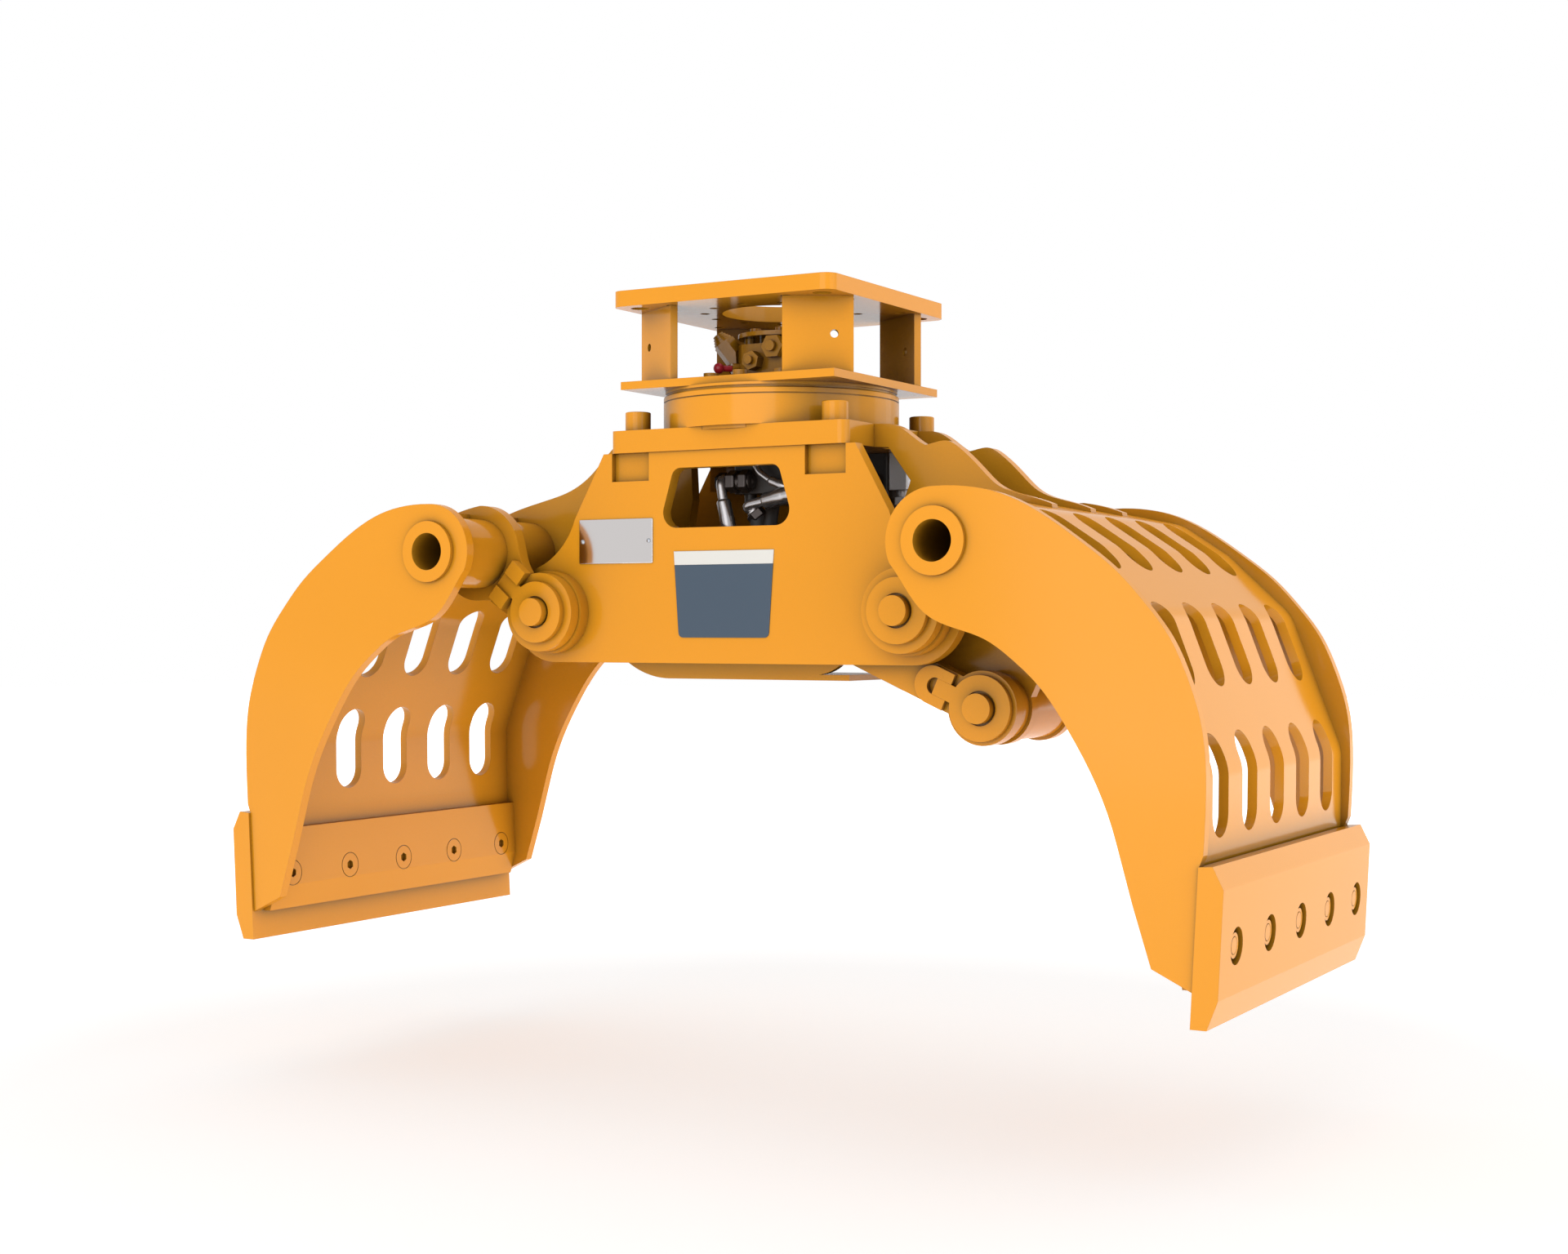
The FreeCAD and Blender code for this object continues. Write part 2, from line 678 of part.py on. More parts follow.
def lever_pin():
    """Pin between the lever plates that carries a cylinder eye."""
    return rod_y(LEVER_X, LEVER_Z, LEVER_PIN_R, -LEVER_IN - LEVER_T, LEVER_IN + LEVER_T)


# Frame


def frame_plate(side):
    """Front or rear frame plate with lobes, pockets and pin holes; the front one has the window."""
    y = -PLATE_FACE if side < 0 else PLATE_BACK
    flank = [frame_at(0.879, 0.592), frame_at(0.948, 0.433), frame_at(1.078, 0.303)]
    lobe = [(PIVOT_X + LOBE_R, PIVOT_Z), (PIVOT_X, PIVOT_Z - LOBE_R)]
    left = [(-p[0], p[1]) for p in flank]
    shoulder = frame_at(0.7035, 1.0)
    body = slab(y, PLATE_T, (-shoulder[0], PLATE_TOP), [
        ("line", shoulder, flank[0]), ("arc", flank[1], flank[2]), ("arc", lobe[0], lobe[1]),
        ("line", (-lobe[1][0], lobe[1][1])), ("arc", (-lobe[0][0], lobe[0][1]), left[2]),
        ("arc", left[1], left[0])])
    cutters = [window(y)] if side < 0 else []
    for sign in (-1, 1):
        x = sign * POCKET_X
        cutters.append(block(x - POCKET_W / 2, x + POCKET_W / 2, y - OVER, y + PLATE_T + OVER,
                             POCKET_Z, PLATE_TOP + OVER))
        cutters.append(rod_y(sign * PIVOT_X, PIVOT_Z, PIN_R + RUN, y - OVER, y + PLATE_T + OVER))
    return drilled(body, cutters)


def window(y):
    """Rounded window cutter."""
    right = [frame_at(0.26, 0.894), frame_at(0.286, 0.881), frame_at(0.303, 0.85), frame_at(0.348, 0.656),
             frame_at(0.338, 0.561), frame_at(0.273, 0.522)]
    left = [(-p[0], p[1]) for p in right]
    return slab(y - OVER, PLATE_T + 2 * OVER, left[0], [
        ("line", right[0]), ("arc", right[1], right[2]), ("line", right[3]), ("arc", right[4], right[5]),
        ("line", left[5]), ("arc", left[4], left[3]), ("line", left[2]), ("arc", left[1], left[0])])


def frame_boss(sign, side):
    """Bearing ring standing on the frame plate at a main pin."""
    y0 = -ARM_IN + FACE if side < 0 else PLATE_FACE
    y1 = -PLATE_FACE if side < 0 else ARM_IN - FACE
    ring = rod_y(sign * PIVOT_X, PIVOT_Z, BOSS_R, y0, y1)
    return ring.cut(rod_y(sign * PIVOT_X, PIVOT_Z, PIN_R + RUN, y0 - OVER, y1 + OVER))


def frame_block():
    """Top block with the rotator seat, the hose passage and the bolt holes."""
    body = rounded_plate(BLOCK_X, BLOCK_Y, PLATE_TOP, BLOCK_TOP, BLOCK_CORNER)
    cutters = [rod_z(0, 0, SEAT_R + FIT, BLOCK_TOP - SEAT_DEPTH, BLOCK_TOP + OVER),
               rod_z(0, 0, PASSAGE_R, PLATE_TOP - OVER, BLOCK_TOP + OVER)]
    for x, y in corners(BOLT_X, BOLT_Y):
        cutters.append(rod_z(x, y, BOLT_R + FIT, PLATE_TOP - OVER, BLOCK_TOP + OVER))
    return drilled(body, cutters)


def nut_block(x, y):
    """Threaded block let into the pocket under the top block."""
    face = PLATE_FACE - POCKET_DEPTH
    low = -face if y < 0 else face - NUT_BLOCK_T
    centre = POCKET_X if x > 0 else -POCKET_X
    half = POCKET_W / 2 - FIT
    body = block(centre - half, centre + half, low, low + NUT_BLOCK_T, POCKET_Z + FIT, PLATE_TOP)
    return body.cut(rod_z(x, y, BOLT_R + FIT, POCKET_Z - OVER, PLATE_TOP + OVER))


def block_bolt(x, y):
    """Big cylinder head screw."""
    head = rod_z(x, y, BOLT_HEAD_R, BLOCK_TOP, BLOCK_TOP + BOLT_HEAD_H)
    rim = [e for e in head.Edges if e.BoundBox.ZMin > BLOCK_TOP + BOLT_HEAD_H / 2]
    head = head.makeFillet(BOLT_HEAD_R / 10, rim)
    shank = rod_z(x, y, BOLT_R, POCKET_Z + POCKET_H / 8, BLOCK_TOP + OVER)
    socket = hexagon(BOLT_KEY, V(x, y, BLOCK_TOP + 0.6 * BOLT_HEAD_H), V(0, 0, 1), BOLT_HEAD_H)
    return joined([head, shank]).cut(socket)


def belly():
    """Guard tray under the cylinder: bent sheet, front rib, cross wall and rear lug."""
    top = BELLY_LOW + BELLY_T
    rise = RIB_TOP - BELLY_LOW
    left = BELLY_LEFT
    sheet = slab(BELLY_FRONT, BELLY_REAR - BELLY_FRONT, (left, BELLY_LOW + 0.65 * rise), [
        ("arc", (left + 0.75 * rise, BELLY_LOW + 0.22 * rise), (left + 2 * rise, BELLY_LOW)),
        ("line", (BELLY_RIGHT, BELLY_LOW), (BELLY_RIGHT, top), (left + 2.05 * rise, top)),
        ("arc", (left + 0.95 * rise, top + 0.22 * rise), (left + 0.2 * rise, BELLY_LOW + 0.9 * rise)),
        ("line", (left, BELLY_LOW + 0.9 * rise))])
    end = BELLY_RIGHT - 0.4 * rise
    rib = slab(BELLY_FRONT, RIB_T, (left, RIB_TOP), [
        ("line", (left, BELLY_LOW + 0.65 * rise)),
        ("arc", (left + 0.75 * rise, BELLY_LOW + 0.25 * rise), (left + 2 * rise, BELLY_LOW + 0.5 * BELLY_T)),
        ("line", (end - rise, BELLY_LOW + 0.5 * BELLY_T)), ("line", (end - rise, top)),
        ("arc", (end - 0.4 * rise, top + 0.08 * rise), (end, RIB_TOP - 0.5 * rise)),
        ("line", (end, RIB_TOP))])
    wall = block(left, left + RIB_T, -PLATE_BACK, PLATE_BACK, BELLY_LOW + 0.62 * rise, RIB_TOP + rise / 3)
    lug = block(-1.8 * rise, -1.8 * rise + RIB_T, BELLY_REAR - RIB_T, PLATE_BACK,
                BELLY_LOW + BELLY_T / 2, RIB_TOP)
    return joined([sheet, rib, wall, lug])


# Rotator and adapter


def rotator_housing():
    """Round housing with its register in the block seat, a shaft bore and a turned groove."""
    low = BLOCK_TOP - SEAT_DEPTH
    groove_z = HOUSING_TOP - RING_H
    body = joined([rod_z(0, 0, SEAT_R, low, BLOCK_TOP + OVER),
                   rod_z(0, 0, HOUSING_R, BLOCK_TOP, HOUSING_TOP)])
    body = body.makeChamfer(OVER, [e for e in body.Edges if e.BoundBox.ZMin > HOUSING_TOP - OVER
                                   and e.BoundBox.XMax > HOUSING_R - OVER])
    groove = rod_z(0, 0, HOUSING_R + OVER, groove_z - GROOVE_T, groove_z)
    groove = groove.cut(rod_z(0, 0, HOUSING_R - GROOVE_T, groove_z - 2 * GROOVE_T, groove_z + GROOVE_T))
    return drilled(body, [rod_z(0, 0, SHAFT_R + RUN, low + HOUSING_H / 4, HOUSING_TOP + OVER),
                          rod_z(0, 0, PASSAGE_R, low - OVER, HOUSING_TOP + OVER), groove])


def slew_ring():
    """Turning flange and shaft of the rotator."""
    low = BLOCK_TOP - SEAT_DEPTH + HOUSING_H / 4 + FACE
    middle = (HOUSING_TOP + LOWER_Z) / 2
    body = joined([rod_z(0, 0, HOUSING_R - RING_INSET, HOUSING_TOP + FACE, middle),
                   rod_z(0, 0, HOUSING_R - RING_INSET / 2, middle, LOWER_Z),
                   rod_z(0, 0, SHAFT_R, low, LOWER_Z)])
    return body.cut(rod_z(0, 0, HOSE_BORE_R, low - OVER, LOWER_Z + OVER))


def lower_plate():
    """Lower adapter plate."""
    body = block(-LOWER_X, LOWER_X, -LOWER_Y, LOWER_Y, LOWER_Z, LOWER_TOP)
    cutters = [rod_z(0, 0, HOSE_BORE_R, LOWER_Z - OVER, LOWER_TOP + OVER)]
    for x, y in circle_places(RING_SCREW_PLACE):
        cutters.append(rod_z(x, y, RING_SCREW_R + FIT, LOWER_Z - OVER, LOWER_TOP + OVER))
    return drilled(body, cutters)


def circle_places(radius):
    """Twelve places on a bolt circle."""
    turns = [math.radians(a) for a in range(0, 360, 30)]
    return [(radius * math.cos(a), radius * math.sin(a)) for a in turns]


def ring_screws():
    """Cap screws that hold the lower plate to the slew ring."""
    screws = []
    for x, y in circle_places(RING_SCREW_PLACE):
        head_top = LOWER_TOP + RING_HEAD_H
        body = joined([rod_z(x, y, RING_HEAD_R, LOWER_TOP, head_top),
                       rod_z(x, y, RING_SCREW_R, LOWER_Z, LOWER_TOP + OVER)])
        socket_at = V(x, y, head_top - RING_HEAD_H / 2)
        screws.append(body.cut(hexagon(RING_HEAD_R, socket_at, V(0, 0, 1), RING_HEAD_H)))
    return screws


def top_plate():
    """Mounting plate with the central opening and its hole pattern."""
    body = rounded_plate(TOP_X, TOP_Y, TOP_Z, TOP_Z + TOP_T, TOP_CORNER)
    holes = [(0, 0, TOP_HOLE_R)]
    holes += [(x, y, MOUNT_R) for x, y in corners(MOUNT_X, MOUNT_Y)]
    holes += [(x, y, CIRCLE_HOLE_R) for x, y in circle_places(CIRCLE_R)]
    holes += [(x, y, SIDE_HOLE_R) for x, y in corners(SIDE_NEAR_X, SIDE_FAR_Y)]
    holes += [(x, y, SIDE_HOLE_R) for x, y in corners(SIDE_FAR_X, SIDE_NEAR_Y)]
    return drilled(body, [rod_z(x, y, r, TOP_Z - OVER, TOP_Z + TOP_T + OVER) for x, y, r in holes])


def leg(x, y):
    """Leg plate set askew across a corner, with one small hole."""
    turn = LEG_ANGLE if x * y < 0 else -LEG_ANGLE
    body = block(-LEG_W / 2, LEG_W / 2, -LEG_T / 2, LEG_T / 2, LOWER_TOP, TOP_Z)
    hole_x = math.copysign(0.23 * LEG_W, x)
    body = body.cut(rod_y(hole_x, LOWER_TOP + LEG_H / 2, LEG_HOLE_R, -LEG_T, LEG_T))
    body.rotate(V(0, 0, 0), V(0, 0, 1), turn)
    body.translate(V(x, y, 0))
    return body


def swivel_body():
    """Rotary feed-through: chamfered block, spacers, top disc with a screw, and a port boss."""
    top = LOWER_TOP + MANIFOLD_H
    half = MANIFOLD_HALF
    core = block(-half, half, -half, half, LOWER_TOP, top)
    core = core.makeChamfer(MANIFOLD_CORNER, upright_edges(core))
    disc_z = top + SPACER_H
    disc = rod_z(0, 0, DISC_R, disc_z, disc_z + DISC_T)
    parts = [core, rod_z(0, 0, DISC_R / 2, top, disc_z), disc]
    parts += [rod_z(x, y, SPACER_R, top, disc_z) for x, y in corners(0.7 * half, 0.55 * half)]
    parts += [rod_z(x, y, SPACER_R, disc_z, disc_z + 2 * DISC_T) for x, y in corners(0.4 * half, 0.75 * half)]
    parts.append(rod(cap_seat(), cap_axis(), CAP_R, 2 * CAP_R))
    return joined(parts)


def cap_axis():
    """Direction from the red cap into the block's chamfered corner."""
    return V(1, 1, 0).normalize()


def cap_seat():
    """Outer end of the port boss that the cap closes."""
    corner = V(-MANIFOLD_HALF + MANIFOLD_CORNER / 2, -MANIFOLD_HALF + MANIFOLD_CORNER / 2, 0)
    return corner - cap_axis() * (1.5 * CAP_R) + V(0, 0, LOWER_TOP + 0.4 * MANIFOLD_H)


def sealing_cap():
    """Ball cap on its stem, pushed on the spare port."""
    ball = cap_seat() - cap_axis() * (2.4 * CAP_R)
    stem = rod(ball, cap_axis(), CAP_STEM_R, 2.4 * CAP_R)
    return joined([Part.makeSphere(CAP_R, ball), stem])


def swivel_fitting():
    """Hexagonal angle fitting with a stepped collar, leaning out of the block's left side."""
    low = V(-MANIFOLD_HALF, -MANIFOLD_HALF / 2, LOWER_TOP + 0.5 * MANIFOLD_H)
    axis = V(-0.55, -0.25, 0.8).normalize()
    start = low + axis * (0.2 * ELBOW_AF)
    parts = [hexagon(ELBOW_AF, start, axis, 1.3 * ELBOW_AF, 15.0)]
    for step in range(4):
        end = start + axis * (1.3 * ELBOW_AF + step * ELBOW_AF / 8)
        parts.append(rod(end, axis, ELBOW_AF / 2 * (1 - 0.14 * step), ELBOW_AF / 8))
    root = rod(low + V(ELBOW_AF / 4, 0, 0), V(-1, 0, 0), 0.42 * ELBOW_AF, 0.8 * ELBOW_AF)
    body = joined([root] + parts)
    return body.cut(block(-MANIFOLD_HALF, MANIFOLD_HALF, -MANIFOLD_HALF, MANIFOLD_HALF,
                          LOWER_TOP - OVER, LOWER_TOP + MANIFOLD_H))


def swivel_plugs():
    """Hexagonal plugs with round bosses at the front of the feed-through."""
    face = -MANIFOLD_HALF
    big = V(0.4 * MANIFOLD_HALF, face, LOWER_TOP + 0.88 * MANIFOLD_H)
    small = V(-0.25 * MANIFOLD_HALF, face, LOWER_TOP + 0.55 * MANIFOLD_H)
    front = V(0, -1, 0)
    plugs = [joined([hexagon(PLUG_AF, big, front, PLUG_H, 0.0),
                     rod(big, front, PLUG_AF / 4, 1.5 * PLUG_H)])]
    plugs.append(joined([hexagon(0.8 * PLUG_AF, small, front, 1.3 * PLUG_H, 18.0),
                         rod(small, front, PLUG_AF / 5, 1.8 * PLUG_H)]))
    return plugs


def motor():
    """Hydraulic motor that drives the rotator, hung under the block."""
    low = PLATE_TOP - MOTOR_H
    case = block(BLOCK_X - MOTOR_W, BLOCK_X, MOTOR_FRONT, MOTOR_REAR, low, PLATE_TOP)
    case = case.makeChamfer(2 * OVER, upright_edges(case))
    nut = hexagon(MOTOR_PORT_AF, V(MOTOR_PORT_X, MOTOR_PORT_Y, low - 0.8 * MOTOR_PORT_H), V(0, 0, 1),
                  0.4 * MOTOR_PORT_H)
    return joined([case, nut, rod_z(MOTOR_PORT_X, MOTOR_PORT_Y, MOTOR_PORT_R, low - MOTOR_PORT_H, low),
                   rod_y(MOTOR_PORT_X, low + MOTOR_H / 2, KNOB_R, MOTOR_REAR, MOTOR_REAR + KNOB_H)])


def valve():
    """Black control block beside the motor."""
    left = VALVE_RIGHT - VALVE_W
    case = block(left, VALVE_RIGHT, MOTOR_FRONT, VALVE_REAR, PLATE_TOP - VALVE_H, PLATE_TOP)
    case = case.makeChamfer(2 * OVER, upright_edges(case))
    knob = rod_y(left + VALVE_W / 2, PLATE_TOP - VALVE_H / 2, KNOB_R, MOTOR_FRONT - KNOB_H, MOTOR_FRONT)
    return joined([case, knob])


def hose_block():
    """Black junction block in front of the hose passage, with its side fitting."""
    low = PLATE_TOP - HOSE_BLOCK_H
    middle = (HOSE_BLOCK_FRONT + HOSE_BLOCK_BACK) / 2
    case = block(HOSE_BLOCK_LEFT, HOSE_BLOCK_RIGHT, HOSE_BLOCK_FRONT, HOSE_BLOCK_BACK, low, PLATE_TOP)
    case = case.makeChamfer(2 * OVER, upright_edges(case))
    side = V(HOSE_BLOCK_LEFT, middle, PLATE_TOP - SIDE_PORT_DOWN)
    left = V(-1, 0, 0)
    fitting = joined([rod(side, left, SIDE_PORT_R, 0.8 * SIDE_PORT_H),
                      rod(side, left, 0.7 * SIDE_PORT_R, SIDE_PORT_H),
                      hexagon(SIDE_PORT_AF, side + left * SIDE_PORT_H, left, SIDE_PORT_H / 2)])
    stems = [rod_z(x, middle, HOSE_STEM_R, low - HOSE_STEM_H, low) for x in HOSE_STEM_X]
    return joined([case, fitting] + stems)


def hose_bracket():
    """Strap from the block down to the bar where the short hoses end."""
    middle = (BAR_FRONT + BAR_BACK) / 2
    strap = block(BAR_LEFT, BAR_LEFT + STRAP_W, middle - STRAP_T / 2, middle + STRAP_T / 2,
                  BAR_LOW, PLATE_TOP)
    bar = block(BAR_LEFT, BAR_RIGHT, BAR_FRONT, BAR_BACK, BAR_LOW, BAR_LOW + BAR_H)
    return joined([strap, bar])


# Cylinder and cross link


def barrel():
    """Cylinder barrel with its eye on the left lever pin."""
    eye = rod_y(-LEVER_X, LEVER_Z, EYE_R, -EYE_HALF, EYE_HALF)
    neck = rod_x(-LEVER_X, BARREL_START + OVER, NECK_R, 0, LEVER_Z)
    tube = rod_x(BARREL_START, BARREL_END, BARREL_R, 0, LEVER_Z)
    parts = [eye, neck, tube]
    for x in (BARREL_START + 2 * PORT_R, BARREL_END - 2 * PORT_R):
        parts.append(rod_z(x, 0, PORT_R, LEVER_Z, LEVER_Z + BARREL_R + PORT_H))
    inside = BARREL_R - BARREL_WALL
    bore = rod_x(BARREL_START + PORT_R, BARREL_END + OVER, inside, 0, LEVER_Z)
    pin = rod_y(-LEVER_X, LEVER_Z, LEVER_PIN_R + RUN, -EYE_HALF - OVER, EYE_HALF + OVER)
    return drilled(joined(parts), [bore, pin])


def gland():
    """Gland screwed into the open end of the barrel."""
    inside = rod_x(BARREL_END - GLAND_IN, BARREL_END, BARREL_R - BARREL_WALL - FIT, 0, LEVER_Z)
    collar = rod_x(BARREL_END, BARREL_END + GLAND_OUT, BARREL_R - 2, 0, LEVER_Z)
    return joined([inside, collar]).cut(rod_x(0, BARREL_END + 2 * GLAND_OUT, ROD_R + RUN, 0, LEVER_Z))


def piston():
    """Piston on the inner end of the rod."""
    left = BARREL_START + 2 * PORT_R
    body = rod_x(left, left + PISTON_T, BARREL_R - BARREL_WALL - RUN, 0, LEVER_Z)
    return body.cut(rod_x(left - OVER, left + PISTON_T + OVER, ROD_TAIL_R + FIT, 0, LEVER_Z))


def piston_rod():
    """Rod with its eye on the right lever pin."""
    left = BARREL_START + 2 * PORT_R
    body = joined([rod_x(left + PISTON_T, LEVER_X, ROD_R, 0, LEVER_Z),
                   rod_x(left, left + PISTON_T, ROD_TAIL_R, 0, LEVER_Z),
                   rod_y(LEVER_X, LEVER_Z, EYE_R, -EYE_HALF, EYE_HALF)])
    return body.cut(rod_y(LEVER_X, LEVER_Z, LEVER_PIN_R + EYE_PLAY, -EYE_HALF - OVER, EYE_HALF + OVER))


def link_slope():
    """Slope of the cross link in degrees, up to the left."""
    return math.degrees(math.atan2(UPPER_Z - LINK_Z, UPPER_X + LINK_X))


def sync_link():
    """Cross link from the lower right boss to the upper left lug."""
    y = -LINK_FACE
    length = math.hypot(UPPER_Z - LINK_Z, UPPER_X + LINK_X)
    bar = block(LINK_X - length, LINK_X, y, y + LINK_T, LINK_Z - LINK_BAR_HALF, LINK_Z + LINK_BAR_HALF)
    body = joined([turned(bar, LINK_X, LINK_Z, -link_slope()),
                   rod_y(LINK_X, LINK_Z, LINK_EYE_R, y, y + LINK_T),
                   rod_y(-UPPER_X, UPPER_Z, LINK_TOP_R, y, y + LINK_T)])
    return drilled(body, [rod_y(LINK_X, LINK_Z, LINK_PIN_R + FIT, y - OVER, y + LINK_T + OVER),
                          rod_y(-UPPER_X, UPPER_Z, STUB_R, y - OVER, y + LINK_T + OVER)])


def link_pin():
    """Lower link pin with its flag and stub."""
    face = -LINK_FACE - LINK_FLAG_T
    pin = rod_y(LINK_X, LINK_Z, LINK_PIN_R, -LINK_FACE - OVER, LEVER_IN + LEVER_T)
    disc = flag(LINK_X, LINK_Z, FLAG_R, face, LINK_FLAG_T, -1, 180 - link_slope(), LINK_TAB_REACH)
    sink = rod_y(LINK_X, LINK_Z, STUB_R + STUB_GAP, face - OVER, face + STUB_SINK)
    stub = rod_y(LINK_X, LINK_Z, STUB_R, face - STUB_H, -LINK_FACE)
    return joined([joined([pin, disc]).cut(sink), stub])


def link_fork():
    """C-shaped keeper with a round back, hooked round the end of the flag tab."""
    y = -LINK_FACE - LINK_FLAG_T
    centre = LINK_X + FORK_IN + FORK_R
    outer = joined([block(LINK_X + FORK_IN, centre, y, -LINK_FACE, LINK_Z - FORK_R, LINK_Z + FORK_R),
                    rod_y(centre, LINK_Z, FORK_R, y, -LINK_FACE)])
    half = TAB_HALF + FIT
    end = LINK_X + LINK_TAB_REACH
    notch = joined([block(LINK_X, end, y - OVER, OVER - LINK_FACE, LINK_Z - half, LINK_Z + half),
                    rod_y(end, LINK_Z, half, y - OVER, OVER - LINK_FACE)])
    return turned(outer.cut(notch), LINK_X, LINK_Z, 180 - link_slope())


def upper_boss():
    """Boss on the left lever plate that faces the upper eye of the link."""
    return rod_y(-UPPER_X, UPPER_Z, LEVER_HUB_R - LINK_FLAG_T, -LINK_FACE + LINK_T + FACE,
                 -LEVER_IN - LEVER_T)


def shell(prefix, flip, humped, low_arm, upper_lug):
    """All nodes of one shell."""
    pieces = {
        "back_sheet": [back_sheet()],
        "cheeks": both_faces(cheek),
        "tube": [torsion_tube()],
        "arm_plates": both_faces(arm_plate),
        "lever_plates": [lever_plate(-1, humped, low_arm, upper_lug), lever_plate(1, humped, low_arm, False)],
        "blade": [blade()],
        "inner_strip": [inner_strip()],
        "blade_screws": [blade_screw(y) for y in five(SCREW_PITCH)],
        "blade_nuts": [blade_nut(y) for y in five(SCREW_PITCH)],
        "main_pin": [main_pin()],
        "keepers": keepers(-1) + keepers(1),
        "lever_pin": [lever_pin()],
    }
    for name, shapes in pieces.items():
        save(prefix + name, mirrored(shapes) if flip else shapes)


shell("right_", False, True, True, False)
shell("left_", True, False, False, True)
save("right_lower_boss", [lower_boss()])
save("left_upper_boss", [upper_boss()])

save("frame_block", [frame_block()])
save("frame_front_plate", [frame_plate(-1)])
save("frame_rear_plate", [frame_plate(1)])
save("frame_bosses", [frame_boss(sign, side) for sign in (-1, 1) for side in (-1, 1)])
save("frame_belly", [belly()])
save("nut_blocks", [nut_block(x, y) for x, y in corners(BOLT_X, BOLT_Y)])
save("block_bolts", [block_bolt(x, y) for x, y in corners(BOLT_X, BOLT_Y)])
save("rotator_housing", [rotator_housing()])
save("rotator_motor", [motor()])
save("control_valve", [valve()])
save("hose_block", [hose_block()])
save("hose_bracket", [hose_bracket()])

save("slew_ring", [slew_ring()])
save("adapter_lower_plate", [lower_plate()])
save("ring_screws", ring_screws())
save("adapter_legs", [leg(x, y) for x, y in corners(LEG_X, LEG_Y)])
save("adapter_top_plate", [top_plate()])
save("swivel_body", [swivel_body()])
save("swivel_fitting", [swivel_fitting()])
save("swivel_plugs", swivel_plugs())
save("sealing_cap", [sealing_cap()])

save("cylinder_barrel", [barrel()])
save("cylinder_gland", [gland()])
save("cylinder_piston", [piston()])
save("cylinder_rod", [piston_rod()])
save("sync_link", [sync_link()])
save("link_pin", [link_pin()])
save("link_fork", [link_fork()])
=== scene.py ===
import math

import bmesh
import bpy
from mathutils import Matrix, Vector


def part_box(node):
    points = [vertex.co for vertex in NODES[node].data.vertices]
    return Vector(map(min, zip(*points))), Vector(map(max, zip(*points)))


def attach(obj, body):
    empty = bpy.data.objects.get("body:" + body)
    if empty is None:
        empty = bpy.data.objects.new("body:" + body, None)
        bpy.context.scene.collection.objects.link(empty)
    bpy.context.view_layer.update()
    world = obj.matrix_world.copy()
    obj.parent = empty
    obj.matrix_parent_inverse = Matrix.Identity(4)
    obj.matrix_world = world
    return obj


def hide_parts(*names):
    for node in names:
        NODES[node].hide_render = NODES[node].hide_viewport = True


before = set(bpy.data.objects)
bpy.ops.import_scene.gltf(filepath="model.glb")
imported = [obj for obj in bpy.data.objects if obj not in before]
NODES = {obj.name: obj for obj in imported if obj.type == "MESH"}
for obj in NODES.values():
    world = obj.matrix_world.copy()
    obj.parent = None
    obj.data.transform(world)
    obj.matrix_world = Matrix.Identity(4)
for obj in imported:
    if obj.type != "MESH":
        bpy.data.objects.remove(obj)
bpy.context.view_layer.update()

# Camera, in metres, degrees and millimetres
CAMERA_PLACE = (1.258, -2.173, 0.371)
CAMERA_LEVEL = 90.0
CAMERA_TURN = 30.0
CAMERA_LENS = 50.0
SENSOR = 36.0
NEAREST = 0.05
FARTHEST = 60.0

# Lights: name, place, point aimed at, width and power in watts
LIGHTS = (
    ("front_light", (0.2, -3.3, 1.2), (0, 0, 0.35), 2.6, 31),
    ("side_light", (3.4, -0.2, 0.75), (0.2, 0, 0.25), 2.8, 20),
    ("back_light", (2.2, 3.4, 0.9), (0.3, 0, 0.3), 2.2, 12),
    ("top_light", (-0.4, 0.4, 3.2), (0, 0, 0.4), 2.6, 6),
)
SKY_SOFT = 0.66
SKY_WHITE = 1.0

# Floor: size, height, tone, and its glow near the object and far from it
FLOOR_SPAN = 14.0
FLOOR_LEVEL = -0.16
FLOOR_TONE = 0.88
FLOOR_GLOW_NEAR = 0.30
FLOOR_GLOW_FAR = 1.0
FLOOR_GLOW_FROM = 0.9
FLOOR_GLOW_TO = 3.2
FLOOR_BOUNCE = 0.28

# Colours as they look on the object, red, green and blue out of 255, with the tone of their worn edges
PAINT = (244, 160, 34)
PAINT_WORN = (246, 176, 92)
# Painted shade: colour laid into hollows of the paint, and a near-black one for the deep inside of the frame
PAINT_SHADE = (188, 136, 34)
PAINT_DEEP_SHADE = (62, 43, 8)
# Grime colour, on the orange paint also painted contact shade in creases
GRIME_AND_SHADE = (96, 62, 12)
MOTOR = (204, 205, 208)
BLACK = (14, 14, 15)
BLACK_WORN = (70, 70, 72)
UNION = (76, 70, 68)
STEEL = (166, 163, 164)
CHROME = (222, 224, 228)
RUBBER = (28, 28, 29)
RUBBER_WORN = (58, 58, 58)
CAP_RED = (172, 26, 48)
CAP_WORN = (200, 60, 70)
PLATE_GREY = (205, 201, 200)
PLATE_WORN = (238, 236, 233)
LABEL_BLUE = (61, 79, 97)
BLUE_WORN = (110, 125, 140)
LABEL_WHITE = (234, 232, 225)
WHITE_WORN = (244, 243, 239)
RIVET = (168, 172, 178)

# Finish that all materials share, in metres and waves per metre
BROAD_SCALE = 3.5
NOISE_ROUGHNESS = 0.55
GRAIN_HEIGHT = 0.0006
# Reach of the corner grime, which on the orange paint is also painted contact shade
GRIME_AND_SHADE_REACH = 0.03
GRIME_DULLS = 0.3
# Reach and amount of the painted shade in hollows
PAINTED_SHADE_REACH = 0.25
PAINTED_SHADE_AMOUNT = 0.85

# Faces taken from the frame
PLATE_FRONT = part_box("frame_front_plate")[0][1]
PLATE_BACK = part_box("frame_front_plate")[1][1]
BLOCK_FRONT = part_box("hose_block")[0][1]

